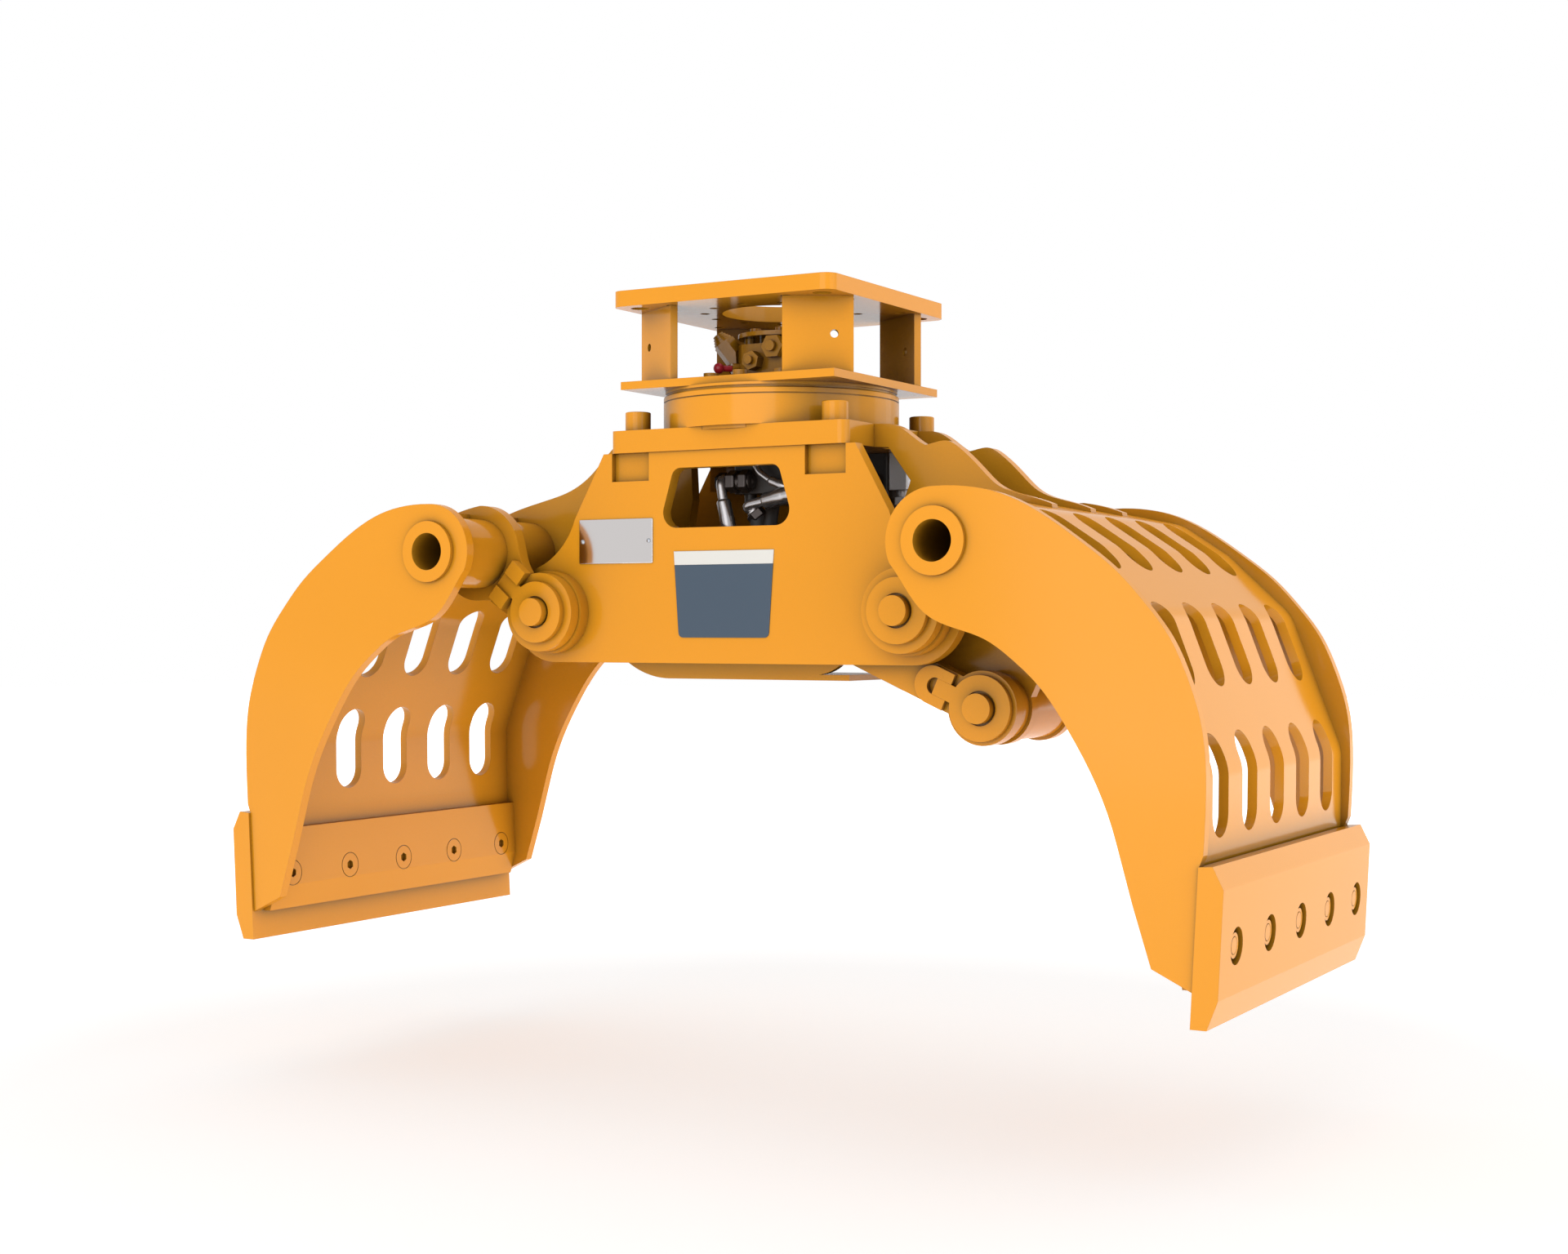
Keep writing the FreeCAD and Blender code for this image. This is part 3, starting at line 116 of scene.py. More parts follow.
# Name sheet and its rivets on the front plate, in X and Z
SHEET_CORNERS = [(-0.1958, 0.4432), (-0.0952, 0.4432), (-0.0952, 0.4936), (-0.1958, 0.4936)]
SHEET_THICK = 0.0012
SHEET_CORNER_R = 0.002
SHEET_EASE = 0.0003
RIVET_X = (-0.1908, -0.1003)
RIVET_Z = 0.4684
RIVET_PROFILE = [(0.0026, 0), (0.0025, 0.0006), (0.0017, 0.0013), (0, 0.0016)]
RIVET_STEPS = 20

# Label: middle, levels of its top, of the colour change and of its foot, and half widths
LABEL_THICK = 0.0008
LABEL_EASE = 0.0002
LABEL_CORNER_R = 0.006
LABEL_X = -0.0023
LABEL_TOP = 0.4556
LABEL_SPLIT = 0.4403
LABEL_FOOT = 0.3593
LABEL_HALF_TOP = 0.0648
LABEL_HALF_FOOT = 0.0582
CORNER_STEPS = 5

# Hose ends behind the window: where each steel end starts, its direction, length and radius
PORT_Y = BLOCK_FRONT - 0.0105
LEFT_END = (-0.0329, -0.0750, 0.5150)
LEFT_WAY = (0.22, 0.05, -1)
LEFT_LENGTH = 0.046
LEFT_END_R = 0.0088
MIDDLE_END = (0.0205, -0.0750, 0.5115)
MIDDLE_WAY = (1, -0.02, 0.20)
MIDDLE_LENGTH = 0.040
MIDDLE_END_R = 0.0100
THIN_END = (0.0247, -0.0700, 0.5360)
THIN_WAY = (1, 0.1, -0.42)
THIN_LENGTH = 0.030
THIN_END_R = 0.0055
HOSE_ENTRY = 0.001

# Steel tubes and rubber hoses, by radius
LEFT_TUBE_R = 0.0057
MIDDLE_TUBE_R = 0.0060
THIN_TUBE_R = 0.0037
LEFT_HOSE_R = 0.0078
RIGHT_HOSE_R = 0.0082
THIN_HOSE_R = 0.0046

# Union in front of the hose block: its left end and level, how far its second nut is from the first,
# its rings by place along it and radius, and its port into the block in the same way
UNION_X = -0.0300
UNION_Z = 0.5354
UNION_STEP = 0.0172
UNION_RINGS = ((0.0119, 0.0090), (0.0138, 0.0104), (0.0156, 0.0090), (0.0276, 0.0095))
UNION_PORT = (0.0222, 0.0085)
RING_LENGTH = 0.0021

# Bar that the hoses end in, and its feet on the front plate
BAR_X = (-0.066, 0.052)
BAR_Y = (-0.078, -0.064)
BAR_BASE = 0.440
BAR_TOP = 0.462
BAR_EASE = 0.001
FOOT_X = (-0.056, 0.042)
FOOT_HALF = 0.008
FOOT_INSET = 0.003


def linear(colour):
    """Display colour out of 255 to a scene colour with alpha."""
    out = []
    for part in colour:
        c = part / 255
        out.append(c / 12.92 if c <= 0.04045 else ((c + 0.055) / 1.055) ** 2.4)
    return (*out, 1.0)


def add(tree, kind, **settings):
    """New node with its properties set."""
    node = tree.nodes.new(kind)
    for name, value in settings.items():
        setattr(node, name, value)
    return node


def socket(group, name, direction, kind="NodeSocketFloat", value=None):
    """Named group socket, with a default where one is given."""
    new = group.interface.new_socket(name=name, in_out=direction, socket_type=kind)
    if value is not None:
        new.default_value = value


def math_node(tree, operation, a, b=None, clamp=False):
    """Maths node fed by sockets or numbers; returns its output."""
    node = add(tree, "ShaderNodeMath", operation=operation, use_clamp=clamp)
    for slot, value in enumerate((a, b)):
        if value is None:
            continue
        if isinstance(value, (int, float)):
            node.inputs[slot].default_value = value
        else:
            tree.links.new(value, node.inputs[slot])
    return node.outputs[0]


def noise(tree, vector, scale, detail):
    """Noise factor at a place given by the vector."""
    node = add(tree, "ShaderNodeTexNoise")
    node.inputs["Scale"].default_value = scale
    node.inputs["Detail"].default_value = detail
    node.inputs["Roughness"].default_value = NOISE_ROUGHNESS
    tree.links.new(vector, node.inputs["Vector"])
    return node.outputs["Fac"]


def stretch(tree, value, low, high, out_low=0.0, out_high=1.0):
    """Remap a value between two limits."""
    node = add(tree, "ShaderNodeMapRange", clamp=True)
    tree.links.new(value, node.inputs["Value"])
    limits = {"From Min": low, "From Max": high, "To Min": out_low, "To Max": out_high}
    for name, number in limits.items():
        node.inputs[name].default_value = number
    return node.outputs["Result"]


def mix_colour(tree, factor, a, b):
    """Colour mix by a factor socket; a and b are sockets or colours."""
    node = add(tree, "ShaderNodeMix", data_type="RGBA")
    tree.links.new(factor, node.inputs["Factor"])
    for name, value in (("A", a), ("B", b)):
        target = [s for s in node.inputs if s.name == name and s.type == "RGBA"][0]
        if isinstance(value, tuple):
            target.default_value = value
        else:
            tree.links.new(value, target)
    return [s for s in node.outputs if s.type == "RGBA"][0]


def edge_group():
    """Shared effect: a mask along outer edges and a softened normal."""
    group = bpy.data.node_groups.new("worn_edges", "ShaderNodeTree")
    socket(group, "Radius", "INPUT", value=0.0015)
    socket(group, "Amount", "INPUT", value=0.5)
    socket(group, "Mask", "OUTPUT")
    socket(group, "Soft Normal", "OUTPUT", "NodeSocketVector")
    inside = add(group, "NodeGroupInput")
    outside = add(group, "NodeGroupOutput")
    bevel = add(group, "ShaderNodeBevel", samples=6)
    group.links.new(inside.outputs["Radius"], bevel.inputs["Radius"])
    plain = add(group, "ShaderNodeNewGeometry")
    dot = add(group, "ShaderNodeVectorMath", operation="DOT_PRODUCT")
    group.links.new(bevel.outputs[0], dot.inputs[0])
    group.links.new(plain.outputs["Normal"], dot.inputs[1])
    edge = math_node(group, "SUBTRACT", 1.0, dot.outputs["Value"])
    place = add(group, "ShaderNodeTexCoord").outputs["Object"]
    patches = stretch(group, noise(group, place, scale=38.0, detail=4.0), low=0.42, high=0.68)
    mask = math_node(group, "MULTIPLY", stretch(group, edge, low=0.02, high=0.22), patches)
    mask = math_node(group, "MULTIPLY", mask, inside.outputs["Amount"], clamp=True)
    group.links.new(mask, outside.inputs["Mask"])
    group.links.new(bevel.outputs[0], outside.inputs["Soft Normal"])
    return group


def grime_and_shade_group():
    """Shared effect: faint dirt and painted contact shade in corners, broken up by noise."""
    group = bpy.data.node_groups.new("corner_grime_and_shade", "ShaderNodeTree")
    socket(group, "Reach", "INPUT", value=0.02)
    socket(group, "Amount", "INPUT", value=0.3)
    socket(group, "Mask", "OUTPUT")
    inside = add(group, "NodeGroupInput")
    outside = add(group, "NodeGroupOutput")
    corner = add(group, "ShaderNodeAmbientOcclusion", samples=4)
    group.links.new(inside.outputs["Reach"], corner.inputs["Distance"])
    closed = math_node(group, "SUBTRACT", 1.0, corner.outputs["AO"])
    place = add(group, "ShaderNodeTexCoord").outputs["Object"]
    spots = noise(group, place, scale=24.0, detail=5.0)
    patches = stretch(group, spots, low=0.3, high=0.75, out_low=0.75)
    mask = math_node(group, "MULTIPLY", stretch(group, closed, low=0.15, high=0.8), patches)
    mask = math_node(group, "MULTIPLY", mask, inside.outputs["Amount"], clamp=True)
    group.links.new(mask, outside.inputs["Mask"])
    return group


def painted_shade_group():
    """Shared effect: painted shade, two masks of how deep a place lies inside the object, for darker colour
    where shade falls.
    """
    group = bpy.data.node_groups.new("painted_shade_depth", "ShaderNodeTree")
    socket(group, "Reach", "INPUT", value=0.25)
    socket(group, "Amount", "INPUT", value=0.8)
    socket(group, "Mask", "OUTPUT")
    socket(group, "Deep Shade Mask", "OUTPUT")
    inside = add(group, "NodeGroupInput")
    outside = add(group, "NodeGroupOutput")
    space = add(group, "ShaderNodeAmbientOcclusion", samples=6)
    group.links.new(inside.outputs["Reach"], space.inputs["Distance"])
    closed = math_node(group, "SUBTRACT", 1.0, space.outputs["AO"])
    for name, low, high in (("Mask", 0.02, 0.40), ("Deep Shade Mask", 0.58, 0.90)):
        part = stretch(group, closed, low, high)
        mask = math_node(group, "MULTIPLY", part, inside.outputs["Amount"], clamp=True)
        group.links.new(mask, outside.inputs[name])
    return group


def grain_group():
    """Shared effect: surface height and a slow drift of tone."""
    group = bpy.data.node_groups.new("surface_grain", "ShaderNodeTree")
    socket(group, "Fine Scale", "INPUT", value=700.0)
    socket(group, "Broad Scale", "INPUT", value=3.0)
    socket(group, "Height", "OUTPUT")
    socket(group, "Drift", "OUTPUT")
    inside = add(group, "NodeGroupInput")
    outside = add(group, "NodeGroupOutput")
    place = add(group, "ShaderNodeTexCoord").outputs["Object"]
    fine = add(group, "ShaderNodeTexNoise")
    fine.inputs["Detail"].default_value = 2.0
    broad = add(group, "ShaderNodeTexNoise")
    broad.inputs["Detail"].default_value = 4.0
    for node, name in ((fine, "Fine Scale"), (broad, "Broad Scale")):
        group.links.new(place, node.inputs["Vector"])
        group.links.new(inside.outputs[name], node.inputs["Scale"])
    group.links.new(fine.outputs["Fac"], outside.inputs["Height"])
    group.links.new(broad.outputs["Fac"], outside.inputs["Drift"])
    return group


WORN_EDGES = edge_group()
CORNER_GRIME_AND_SHADE = grime_and_shade_group()
PAINTED_SHADE_DEPTH = painted_shade_group()
SURFACE_GRAIN = grain_group()


def effect(tree, group, **values):
    """Places a shared effect in a material with its own values."""
    node = add(tree, "ShaderNodeGroup")
    node.node_tree = group
    for name, value in values.items():
        node.inputs[name.replace("_", " ")].default_value = value
    return node


def finish_material(name, colour, worn, metallic, rough, wear, grime_and_shade, fine, bump, coat=0.0,
                    coat_rough=0.1, drift=0.05, radius=0.0012, rough_span=0.08, shade=None,
                    deep_shade=None, gloss=0.5):
    """Material with tone drift, worn edges, corner grime (on the orange paint also painted contact shade) and
    a fine bump, and painted shade in hollows when shade colours are given.
    """
    material = bpy.data.materials.new(name)
    material.use_nodes = True
    tree = material.node_tree
    shader = tree.nodes["Principled BSDF"]
    grain = effect(tree, SURFACE_GRAIN, Fine_Scale=fine, Broad_Scale=BROAD_SCALE)
    edges = effect(tree, WORN_EDGES, Radius=radius, Amount=wear)
    dirt_and_shade = effect(tree, CORNER_GRIME_AND_SHADE, Reach=GRIME_AND_SHADE_REACH, Amount=grime_and_shade)
    base = linear(colour)
    darker = tuple(c * (1 - drift) for c in base[:3]) + (1.0,)
    tone = mix_colour(tree, stretch(tree, grain.outputs["Drift"], low=0.35, high=0.65), darker, base)
    if shade:
        # Painted shade: hollows take the shade colour, the deepest places the near-black one
        painted_shade = effect(tree, PAINTED_SHADE_DEPTH, Reach=PAINTED_SHADE_REACH, Amount=PAINTED_SHADE_AMOUNT)
        tone = mix_colour(tree, painted_shade.outputs["Mask"], tone, linear(shade))
        tone = mix_colour(tree, painted_shade.outputs["Deep Shade Mask"], tone, linear(deep_shade))
    # Corner grime: dirt, and on the orange paint painted contact shade in creases
    tone = mix_colour(tree, dirt_and_shade.outputs["Mask"], tone, linear(GRIME_AND_SHADE))
    tone = mix_colour(tree, edges.outputs["Mask"], tone, linear(worn))
    tree.links.new(tone, shader.inputs["Base Color"])
    spread = stretch(tree, grain.outputs["Drift"], 0.3, 0.7, rough - rough_span / 2, rough + rough_span / 2)
    dull = math_node(tree, "MULTIPLY", dirt_and_shade.outputs["Mask"], GRIME_DULLS)
    rougher = math_node(tree, "ADD", spread, dull, clamp=True)
    tree.links.new(rougher, shader.inputs["Roughness"])
    relief = add(tree, "ShaderNodeBump")
    relief.inputs["Strength"].default_value = bump
    relief.inputs["Distance"].default_value = GRAIN_HEIGHT
    tree.links.new(grain.outputs["Height"], relief.inputs["Height"])
    tree.links.new(edges.outputs["Soft Normal"], relief.inputs["Normal"])
    tree.links.new(relief.outputs["Normal"], shader.inputs["Normal"])
    shader.inputs["Metallic"].default_value = metallic
    shader.inputs["Specular IOR Level"].default_value = gloss
    shader.inputs["Coat Weight"].default_value = coat
    shader.inputs["Coat Roughness"].default_value = coat_rough
    return material


# Orange paint, with painted shade in hollows and painted contact shade in its corners
PAINTED = finish_material(
    "orange_paint", PAINT, PAINT_WORN, metallic=0.0, rough=0.36, wear=0.35, grime_and_shade=0.55, fine=650.0,
    bump=0.04, coat=0.56, coat_rough=0.14, drift=0.03, radius=0.0011, shade=PAINT_SHADE,
    deep_shade=PAINT_DEEP_SHADE, gloss=0.0)
MOTOR_PAINT = finish_material(
    "motor_paint", MOTOR, STEEL, metallic=0.6, rough=0.38, wear=0.5, grime_and_shade=0.4, fine=500.0, bump=0.08)
BLACK_PAINT = finish_material(
    "black_paint", BLACK, BLACK_WORN, metallic=0.0, rough=0.45, wear=0.5, grime_and_shade=0.2, fine=500.0, bump=0.08)
DARK_STEEL = finish_material(
    "dark_steel", UNION, STEEL, metallic=0.85, rough=0.30, wear=0.5, grime_and_shade=0.3, fine=700.0, bump=0.05)
STEEL_PLATED = finish_material(
    "plated_steel", STEEL, CHROME, metallic=0.9, rough=0.24, wear=0.5, grime_and_shade=0.25, fine=900.0, bump=0.05)
CHROME_ROD = finish_material(
    "chrome_rod", CHROME, CHROME, metallic=1.0, rough=0.08, wear=0.1, grime_and_shade=0.1, fine=1200.0, bump=0.01,
    drift=0.02)
GLAND_STEEL = finish_material(
    "gland_steel", STEEL, CHROME, metallic=0.95, rough=0.30, wear=0.5, grime_and_shade=0.3, fine=900.0, bump=0.06)
HOSE_RUBBER = finish_material(
    "hose_rubber", RUBBER, RUBBER_WORN, metallic=0.0, rough=0.62, wear=0.4, grime_and_shade=0.2, fine=1400.0, bump=0.25)
RED_PLASTIC = finish_material(
    "red_cap", CAP_RED, CAP_WORN, metallic=0.0, rough=0.35, wear=0.3, grime_and_shade=0.1, fine=900.0, bump=0.04)
NAME_SHEET = finish_material(
    "bare_name_sheet", PLATE_GREY, PLATE_WORN, metallic=1.0, rough=0.07, wear=0.2, grime_and_shade=0.05, fine=1500.0,
    bump=0.005, drift=0.01, rough_span=0.02)
LABEL_FOIL = finish_material(
    "label_foil", LABEL_BLUE, BLUE_WORN, metallic=0.0, rough=0.34, wear=0.2, grime_and_shade=0.05, fine=1200.0,
    bump=0.03)
LABEL_BAND = finish_material(
    "label_band", LABEL_WHITE, WHITE_WORN, metallic=0.0, rough=0.34, wear=0.2, grime_and_shade=0.05, fine=1200.0,
    bump=0.03)
RIVET_METAL = finish_material(
    "rivet_metal", RIVET, STEEL, metallic=0.9, rough=0.3, wear=0.3, grime_and_shade=0.2, fine=900.0, bump=0.03)

NODE_FINISH = {
    "rotator_motor": MOTOR_PAINT,
    "control_valve": BLACK_PAINT,
    "hose_block": BLACK_PAINT,
    "hose_bracket": BLACK_PAINT,
    "sealing_cap": RED_PLASTIC,
    "cylinder_rod": CHROME_ROD,
    "cylinder_gland": GLAND_STEEL,
    "cylinder_piston": GLAND_STEEL,
}


def dress_nodes():
    """Gives every CAD node its finish."""
    for name, piece in NODES.items():
        piece.data.materials.clear()
        piece.data.materials.append(NODE_FINISH.get(name, PAINTED))


def made(name, body, mesh, material, smooth=True):
    """Object from a bmesh, riding on its body."""
    data = bpy.data.meshes.new(name)
    mesh.to_mesh(data)
    mesh.free()
    piece = bpy.data.objects.new(name, data)
    bpy.context.scene.collection.objects.link(piece)
    data.materials.append(material)
    if smooth:
        for face in data.polygons:
            face.use_smooth = True
    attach(piece, body)
    return piece


def frame_for(axis):
    """Rotation that takes Z to the axis."""
    return Vector((0, 0, 1)).rotation_difference(Vector(axis)).to_matrix().to_4x4()


def lathe(mesh, profile, start, axis, steps=32):
    """Adds a turned form: profile of (radius, distance along axis) from the start."""
    turn = Matrix.Translation(Vector(start)) @ frame_for(axis)
    rings = []
    for radius, along in profile:
        if radius < 1e-7:
            rings.append([mesh.verts.new(turn @ Vector((0, 0, along)))])
            continue
        ring = []
        for i in range(steps):
            angle = 2 * math.pi * i / steps
            place = Vector((radius * math.cos(angle), radius * math.sin(angle), along))
            ring.append(mesh.verts.new(turn @ place))
        rings.append(ring)
    for low, high in zip(rings[:-1], rings[1:]):
        for i in range(steps):
            j = (i + 1) % steps
            corners = (low[i % len(low)], low[j % len(low)], high[j % len(high)], high[i % len(high)])
            unique = list(dict.fromkeys(corners))
            if len(unique) > 2:
                mesh.faces.new(unique)
    bmesh.ops.recalc_face_normals(mesh, faces=mesh.faces)


def hex_nut(mesh, start, axis, across, length):
    """Adds a chamfered hexagon bar."""
    radius = across / math.sqrt(3)
    lathe(mesh, [(0, 0), (radius * 0.9, 0), (radius, length * 0.12), (radius, length * 0.88),
                 (radius * 0.9, length), (0, length)], start, axis, steps=6)


def bent_tube(name, body, points, radius, material):
    """Smooth tube along its points."""
    curve = bpy.data.curves.new(name, "CURVE")
    curve.dimensions = "3D"
    spline = curve.splines.new("NURBS")
    spline.points.add(len(points) - 1)
    for target, place in zip(spline.points, points):
        target.co = (*place, 1.0)
    spline.order_u = 3
    spline.use_endpoint_u = True
    curve.bevel_depth = radius
    curve.bevel_resolution = 6
    curve.resolution_u = 10
    curve.use_fill_caps = True
    piece = bpy.data.objects.new(name, curve)
    bpy.context.scene.collection.objects.link(piece)
    curve.materials.append(material)
    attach(piece, body)
    return piece


def panel(mesh, corners, y, thick, bevel):
    """Adds a thin plate lying on the front plate, with softened front edges."""
    count = len(corners)
    centre = Vector((sum(x for x, z in corners) / count, 0, sum(z for x, z in corners) / count))
    back = [mesh.verts.new((x, y, z)) for x, z in corners]
    side = [mesh.verts.new((x, y - thick + bevel, z)) for x, z in corners]
    front = []
    for x, z in corners:
        inward = (centre - Vector((x, 0, z))).normalized() * bevel
        front.append(mesh.verts.new((x + inward.x, y - thick, z + inward.z)))
    for ring_a, ring_b in ((back, side), (side, front)):
        for i in range(count):
            j = (i + 1) % count
            mesh.faces.new((ring_a[i], ring_a[j], ring_b[j], ring_b[i]))
    mesh.faces.new(front)
    mesh.faces.new(list(reversed(back)))
    bmesh.ops.recalc_face_normals(mesh, faces=mesh.faces)


def round_corners(points, radius):
    """Outline with rounded corners, of CORNER_STEPS + 1 points each."""
    out = []
    count = len(points)
    for i in range(count):
        before = Vector(points[i - 1])
        here = Vector(points[i])
        after = Vector(points[(i + 1) % count])
        a = here + (before - here).normalized() * radius
        b = here + (after - here).normalized() * radius
        for step in range(CORNER_STEPS + 1):
            t = step / CORNER_STEPS
            out.append(tuple(a.lerp(here, t).lerp(here.lerp(b, t), t)))
    return out


def labels():
    """Bare name sheet with rivets, and the bare two-tone label."""
    sheet = bmesh.new()
    panel(sheet, round_corners(SHEET_CORNERS, SHEET_CORNER_R), PLATE_FRONT, SHEET_THICK, SHEET_EASE)
    made("bare_name_sheet", "frame", sheet, NAME_SHEET, smooth=False)
    rivets = bmesh.new()
    for x in RIVET_X:
        lathe(rivets, RIVET_PROFILE, (x, PLATE_FRONT - SHEET_THICK, RIVET_Z), (0, -1, 0), RIVET_STEPS)
    made("name_sheet_rivets", "frame", rivets, RIVET_METAL)
    narrowing = (LABEL_HALF_TOP - LABEL_HALF_FOOT) * (LABEL_TOP - LABEL_SPLIT) / (LABEL_TOP - LABEL_FOOT)
    left = (LABEL_X - (LABEL_HALF_TOP - narrowing), LABEL_SPLIT)
    right = (LABEL_X + (LABEL_HALF_TOP - narrowing), LABEL_SPLIT)
    foot_left = (LABEL_X - LABEL_HALF_FOOT, LABEL_FOOT)
    foot_right = (LABEL_X + LABEL_HALF_FOOT, LABEL_FOOT)
    rounded = round_corners([left, foot_left, foot_right, right], LABEL_CORNER_R)
    each = CORNER_STEPS + 1
    foil = bmesh.new()
    panel(foil, [left] + rounded[each:3 * each] + [right], PLATE_FRONT, LABEL_THICK, LABEL_EASE)
    made("bare_label_foil", "frame", foil, LABEL_FOIL, smooth=False)
    top_right = (LABEL_X + LABEL_HALF_TOP, LABEL_TOP)
    top_left = (LABEL_X - LABEL_HALF_TOP, LABEL_TOP)
    strip = bmesh.new()
    panel(strip, [left, right, top_right, top_left], PLATE_FRONT, LABEL_THICK, LABEL_EASE)
    made("bare_label_band", "frame", strip, LABEL_BAND, smooth=False)


def ferrule(mesh, start, axis, length, radius, neck):
    """Adds a crimped hose end with two raised rings."""
    lathe(mesh, [(0, 0), (radius * neck, 0), (radius * (neck + 1) / 2, 0.0008), (radius * 0.94, 0.003),
                 (radius * 0.94, length * 0.40), (radius, length * 0.44), (radius, length * 0.70),
                 (radius * 0.95, length * 0.74), (radius, length * 0.78), (radius, length - 0.002),
                 (radius * 0.9, length), (0, length)], start, axis)


def collar(mesh, start, axis, radius, length):
    """Adds a short turned ring with eased edges."""
    lathe(mesh, [(0, 0), (radius - 0.0006, 0), (radius, 0.0006), (radius, length - 0.0006),
                 (radius - 0.0006, length), (0, length)], start, axis)


def box_piece(mesh, low, high, ease):
    """Adds a block between two corners, with eased edges."""
    size = [b - a for a, b in zip(low, high)]
    middle = [(a + b) / 2 for a, b in zip(low, high)]
    placed = Matrix.Translation(middle) @ Matrix.Diagonal((*size, 1))
    shape = bmesh.ops.create_cube(mesh, size=1.0, matrix=placed)
    edges = list({edge for corner in shape["verts"] for edge in corner.link_edges})
    bmesh.ops.bevel(mesh, geom=edges, offset=ease, segments=2, affect="EDGES")


def hose_bar():
    """Bar that the short hoses end in, on two feet behind the front plate."""
    bar = bmesh.new()
    box_piece(bar, (BAR_X[0], BAR_Y[0], BAR_BASE), (BAR_X[1], BAR_Y[1], BAR_TOP), BAR_EASE)
    for x in FOOT_X:
        box_piece(bar, (x - FOOT_HALF, PLATE_BACK, BAR_BASE + FOOT_INSET),
                  (x + FOOT_HALF, BAR_Y[0] + BAR_EASE, BAR_TOP - FOOT_INSET), BAR_EASE)
    piece = made("hose_bar_on_feet", "frame", bar, BLACK_PAINT, smooth=False)
    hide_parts("hose_bracket")


def steel_ends():
    """Plated hose ends and bent tubes behind the window."""
    ends = bmesh.new()
    ferrule(ends, LEFT_END, LEFT_WAY, LEFT_LENGTH, LEFT_END_R, neck=0.66)
    ferrule(ends, MIDDLE_END, MIDDLE_WAY, MIDDLE_LENGTH, MIDDLE_END_R, neck=0.64)
    ferrule(ends, THIN_END, THIN_WAY, THIN_LENGTH, THIN_END_R, neck=0.72)
    collar(ends, (0.0034, -0.0705, 0.5020), (0.55, 0.15, -0.5), radius=0.0088, length=0.004)
    made("hose_ferrules", "frame", ends, STEEL_PLATED)
    bent_tube("left_elbow", "frame",
              [LEFT_END, (-0.0345, -0.0750, 0.5240), (-0.0362, -0.0745, 0.5350), (-0.0345, -0.0700, 0.5392),
               (-0.0290, -0.0665, 0.5362)], LEFT_TUBE_R, STEEL_PLATED)
    bent_tube("middle_elbow", "frame",
              [MIDDLE_END, (0.0110, -0.0752, 0.5098), (0.0005, -0.0748, 0.5078), (-0.0020, -0.0725, 0.5040),
               (0.0045, -0.0703, 0.5010)], MIDDLE_TUBE_R, STEEL_PLATED)
    bent_tube("thin_tube", "frame",
              [(0.0055, -0.0700, 0.5675), (0.0062, -0.0700, 0.5560), (0.0100, -0.0700, 0.5460),
               (0.0180, -0.0700, 0.5405), THIN_END], THIN_TUBE_R, STEEL_PLATED)


def dark_fittings():
    """Union along the hose block, and the nut below the middle elbow."""
    union = bmesh.new()
    hex_nut(union, (UNION_X, PORT_Y, UNION_Z), (1, 0, 0), across=0.0225, length=0.0120)
    hex_nut(union, (UNION_X + UNION_STEP, PORT_Y, UNION_Z), (1, 0, 0), across=0.0235, length=0.0105)
    hex_nut(union, (0.0050, -0.0700, 0.5000), (0.5, 0.15, -0.6), across=0.0190, length=0.010)
    made("dark_nuts", "frame", union, DARK_STEEL, smooth=False)
    turned = bmesh.new()
    for shift, radius in UNION_RINGS:
        collar(turned, (UNION_X + shift, PORT_Y, UNION_Z), (1, 0, 0), radius, RING_LENGTH)
    shift, radius = UNION_PORT
    into_block = BLOCK_FRONT - PORT_Y + HOSE_ENTRY
    collar(turned, (UNION_X + shift, PORT_Y, UNION_Z), (0, 1, 0), radius, into_block)
    made("dark_rings", "frame", turned, DARK_STEEL)


def far_end(start, way, length):
    """Point just inside the far end of a steel hose end."""
    reach = length - HOSE_ENTRY
    return tuple(a + b * reach for a, b in zip(start, Vector(way).normalized()))


def hose_ends():
    """Rubber stretches from the steel ends to the bar."""
    foot = BAR_TOP - HOSE_ENTRY
    bent_tube("left_hose_end", "frame",
              [far_end(LEFT_END, LEFT_WAY, LEFT_LENGTH), (-0.0235, -0.0722, 0.4650),
               (-0.0232, -0.0712, foot)],
              LEFT_HOSE_R, HOSE_RUBBER)
    bent_tube("right_hose_end", "frame",
              [far_end(MIDDLE_END, MIDDLE_WAY, MIDDLE_LENGTH), (0.0700, -0.0775, 0.5220),
               (0.0860, -0.0780, 0.5130), (0.0850, -0.0775, 0.4850), (0.0620, -0.0740, 0.4760),
               (0.0420, -0.0712, 0.4720), (0.0410, -0.0710, foot)], RIGHT_HOSE_R, HOSE_RUBBER)
    bent_tube("thin_hose_end", "frame",
              [far_end(THIN_END, THIN_WAY, THIN_LENGTH), (0.0640, -0.0650, 0.5170),
               (0.0720, -0.0630, 0.5000), (0.0560, -0.0650, 0.4840), (0.0300, -0.0690, 0.4800),
               (0.0285, -0.0710, foot)],
              THIN_HOSE_R, HOSE_RUBBER)
    sleeves = bmesh.new()
    collar(sleeves, (0.0085, -0.0690, 0.4975), (0.12, 0, -1), radius=0.0088, length=0.036)
    collar(sleeves, (0.0200, -0.0540, 0.5090), (0.06, -0.38, -1), radius=0.0080, length=0.049)
    made("hose_sleeves", "frame", sleeves, HOSE_RUBBER)


def area_light(name, place, target, size, power):
    """Soft square light aimed at a point."""
    lamp = bpy.data.lights.new(name, "AREA")
    lamp.size = size
    lamp.energy = power
    lamp_object = bpy.data.objects.new(name, lamp)
    lamp_object.location = place
    lamp_object.visible_camera = False
    aim = Vector(target) - Vector(place)
    lamp_object.rotation_euler = aim.to_track_quat("-Z", "Y").to_euler()
    bpy.context.scene.collection.objects.link(lamp_object)


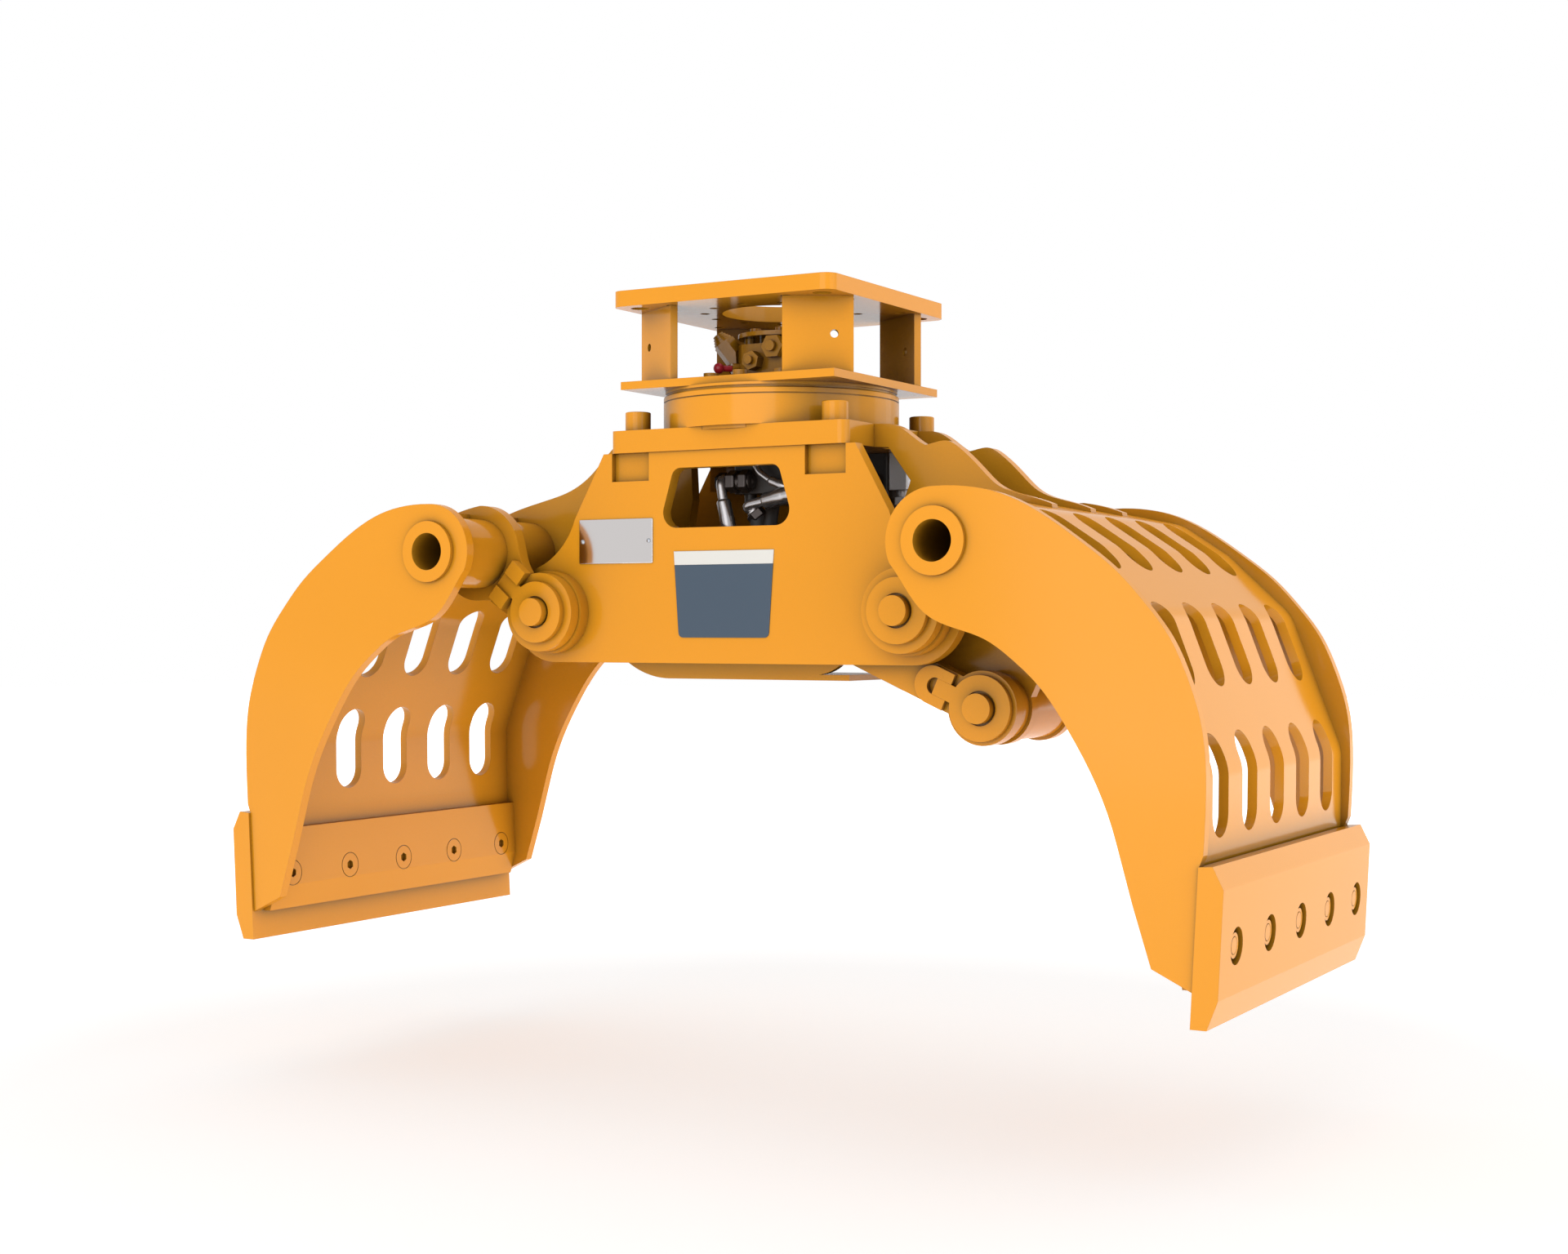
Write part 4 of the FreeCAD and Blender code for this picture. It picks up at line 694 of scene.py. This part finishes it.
def set_world():
    """Plain studio world: soft on matt paint, and white where it is seen or mirrored."""
    world = bpy.data.worlds.new("studio")
    bpy.context.scene.world = world
    world.use_nodes = True
    tree = world.node_tree
    tree.nodes.clear()
    out = add(tree, "ShaderNodeOutputWorld")
    mixer = add(tree, "ShaderNodeMixShader")
    soft = add(tree, "ShaderNodeBackground")
    soft.inputs["Color"].default_value = (1, 1, 1, 1)
    soft.inputs["Strength"].default_value = SKY_SOFT
    white = add(tree, "ShaderNodeBackground")
    white.inputs["Color"].default_value = (1, 1, 1, 1)
    white.inputs["Strength"].default_value = SKY_WHITE
    path = add(tree, "ShaderNodeLightPath")
    seen = math_node(tree, "MAXIMUM", path.outputs["Is Camera Ray"], path.outputs["Is Glossy Ray"])
    seen = math_node(tree, "MAXIMUM", seen, path.outputs["Is Transmission Ray"])
    tree.links.new(seen, mixer.inputs["Fac"])
    tree.links.new(soft.outputs[0], mixer.inputs[1])
    tree.links.new(white.outputs[0], mixer.inputs[2])
    tree.links.new(mixer.outputs[0], out.inputs["Surface"])


def set_floor():
    """White floor, low enough for the closing shells, that keeps the object's shadow."""
    mesh = bmesh.new()
    for x, y in ((-1, -1), (1, -1), (1, 1), (-1, 1)):
        mesh.verts.new((x * FLOOR_SPAN, y * FLOOR_SPAN, FLOOR_LEVEL))
    mesh.faces.new(mesh.verts)
    data = bpy.data.meshes.new("floor")
    mesh.to_mesh(data)
    mesh.free()
    floor = bpy.data.objects.new("floor", data)
    bpy.context.scene.collection.objects.link(floor)
    material = bpy.data.materials.new("floor_white")
    material.use_nodes = True
    tree = material.node_tree
    tree.nodes.clear()
    out = add(tree, "ShaderNodeOutputMaterial")
    diffuse = add(tree, "ShaderNodeBsdfDiffuse")
    diffuse.inputs["Color"].default_value = (FLOOR_TONE, FLOOR_TONE, FLOOR_TONE, 1)
    glow = add(tree, "ShaderNodeEmission")
    path = add(tree, "ShaderNodeLightPath")
    place = add(tree, "ShaderNodeTexCoord").outputs["Object"]
    away = add(tree, "ShaderNodeVectorMath", operation="LENGTH")
    tree.links.new(place, away.inputs[0])
    rising = stretch(tree, away.outputs["Value"], FLOOR_GLOW_FROM, FLOOR_GLOW_TO,
                     FLOOR_GLOW_NEAR, FLOOR_GLOW_FAR)
    seen = math_node(tree, "MULTIPLY", path.outputs["Is Camera Ray"], rising)
    mirrored = math_node(tree, "MULTIPLY", path.outputs["Is Glossy Ray"], FLOOR_GLOW_FAR)
    bounced = math_node(tree, "MULTIPLY", path.outputs["Is Diffuse Ray"], FLOOR_BOUNCE)
    strength = math_node(tree, "ADD", math_node(tree, "MAXIMUM", seen, mirrored), bounced)
    tree.links.new(strength, glow.inputs["Strength"])
    both = add(tree, "ShaderNodeAddShader")
    tree.links.new(diffuse.outputs[0], both.inputs[0])
    tree.links.new(glow.outputs[0], both.inputs[1])
    tree.links.new(both.outputs[0], out.inputs["Surface"])
    data.materials.append(material)
    floor.visible_shadow = False


def set_camera():
    """Camera at the photograph's place, level, aimed past the rotator axis."""
    camera = bpy.data.cameras.new("camera")
    camera.lens = CAMERA_LENS
    camera.sensor_width = SENSOR
    camera.clip_start = NEAREST
    camera.clip_end = FARTHEST
    holder = bpy.data.objects.new("camera", camera)
    holder.location = CAMERA_PLACE
    holder.rotation_euler = (math.radians(CAMERA_LEVEL), 0, math.radians(CAMERA_TURN))
    bpy.context.scene.collection.objects.link(holder)
    bpy.context.scene.camera = holder


dress_nodes()
labels()
hose_bar()
steel_ends()
dark_fittings()
hose_ends()
set_world()
set_floor()
set_camera()
for light in LIGHTS:
    area_light(*light)
bpy.context.scene.view_settings.view_transform = "Standard"
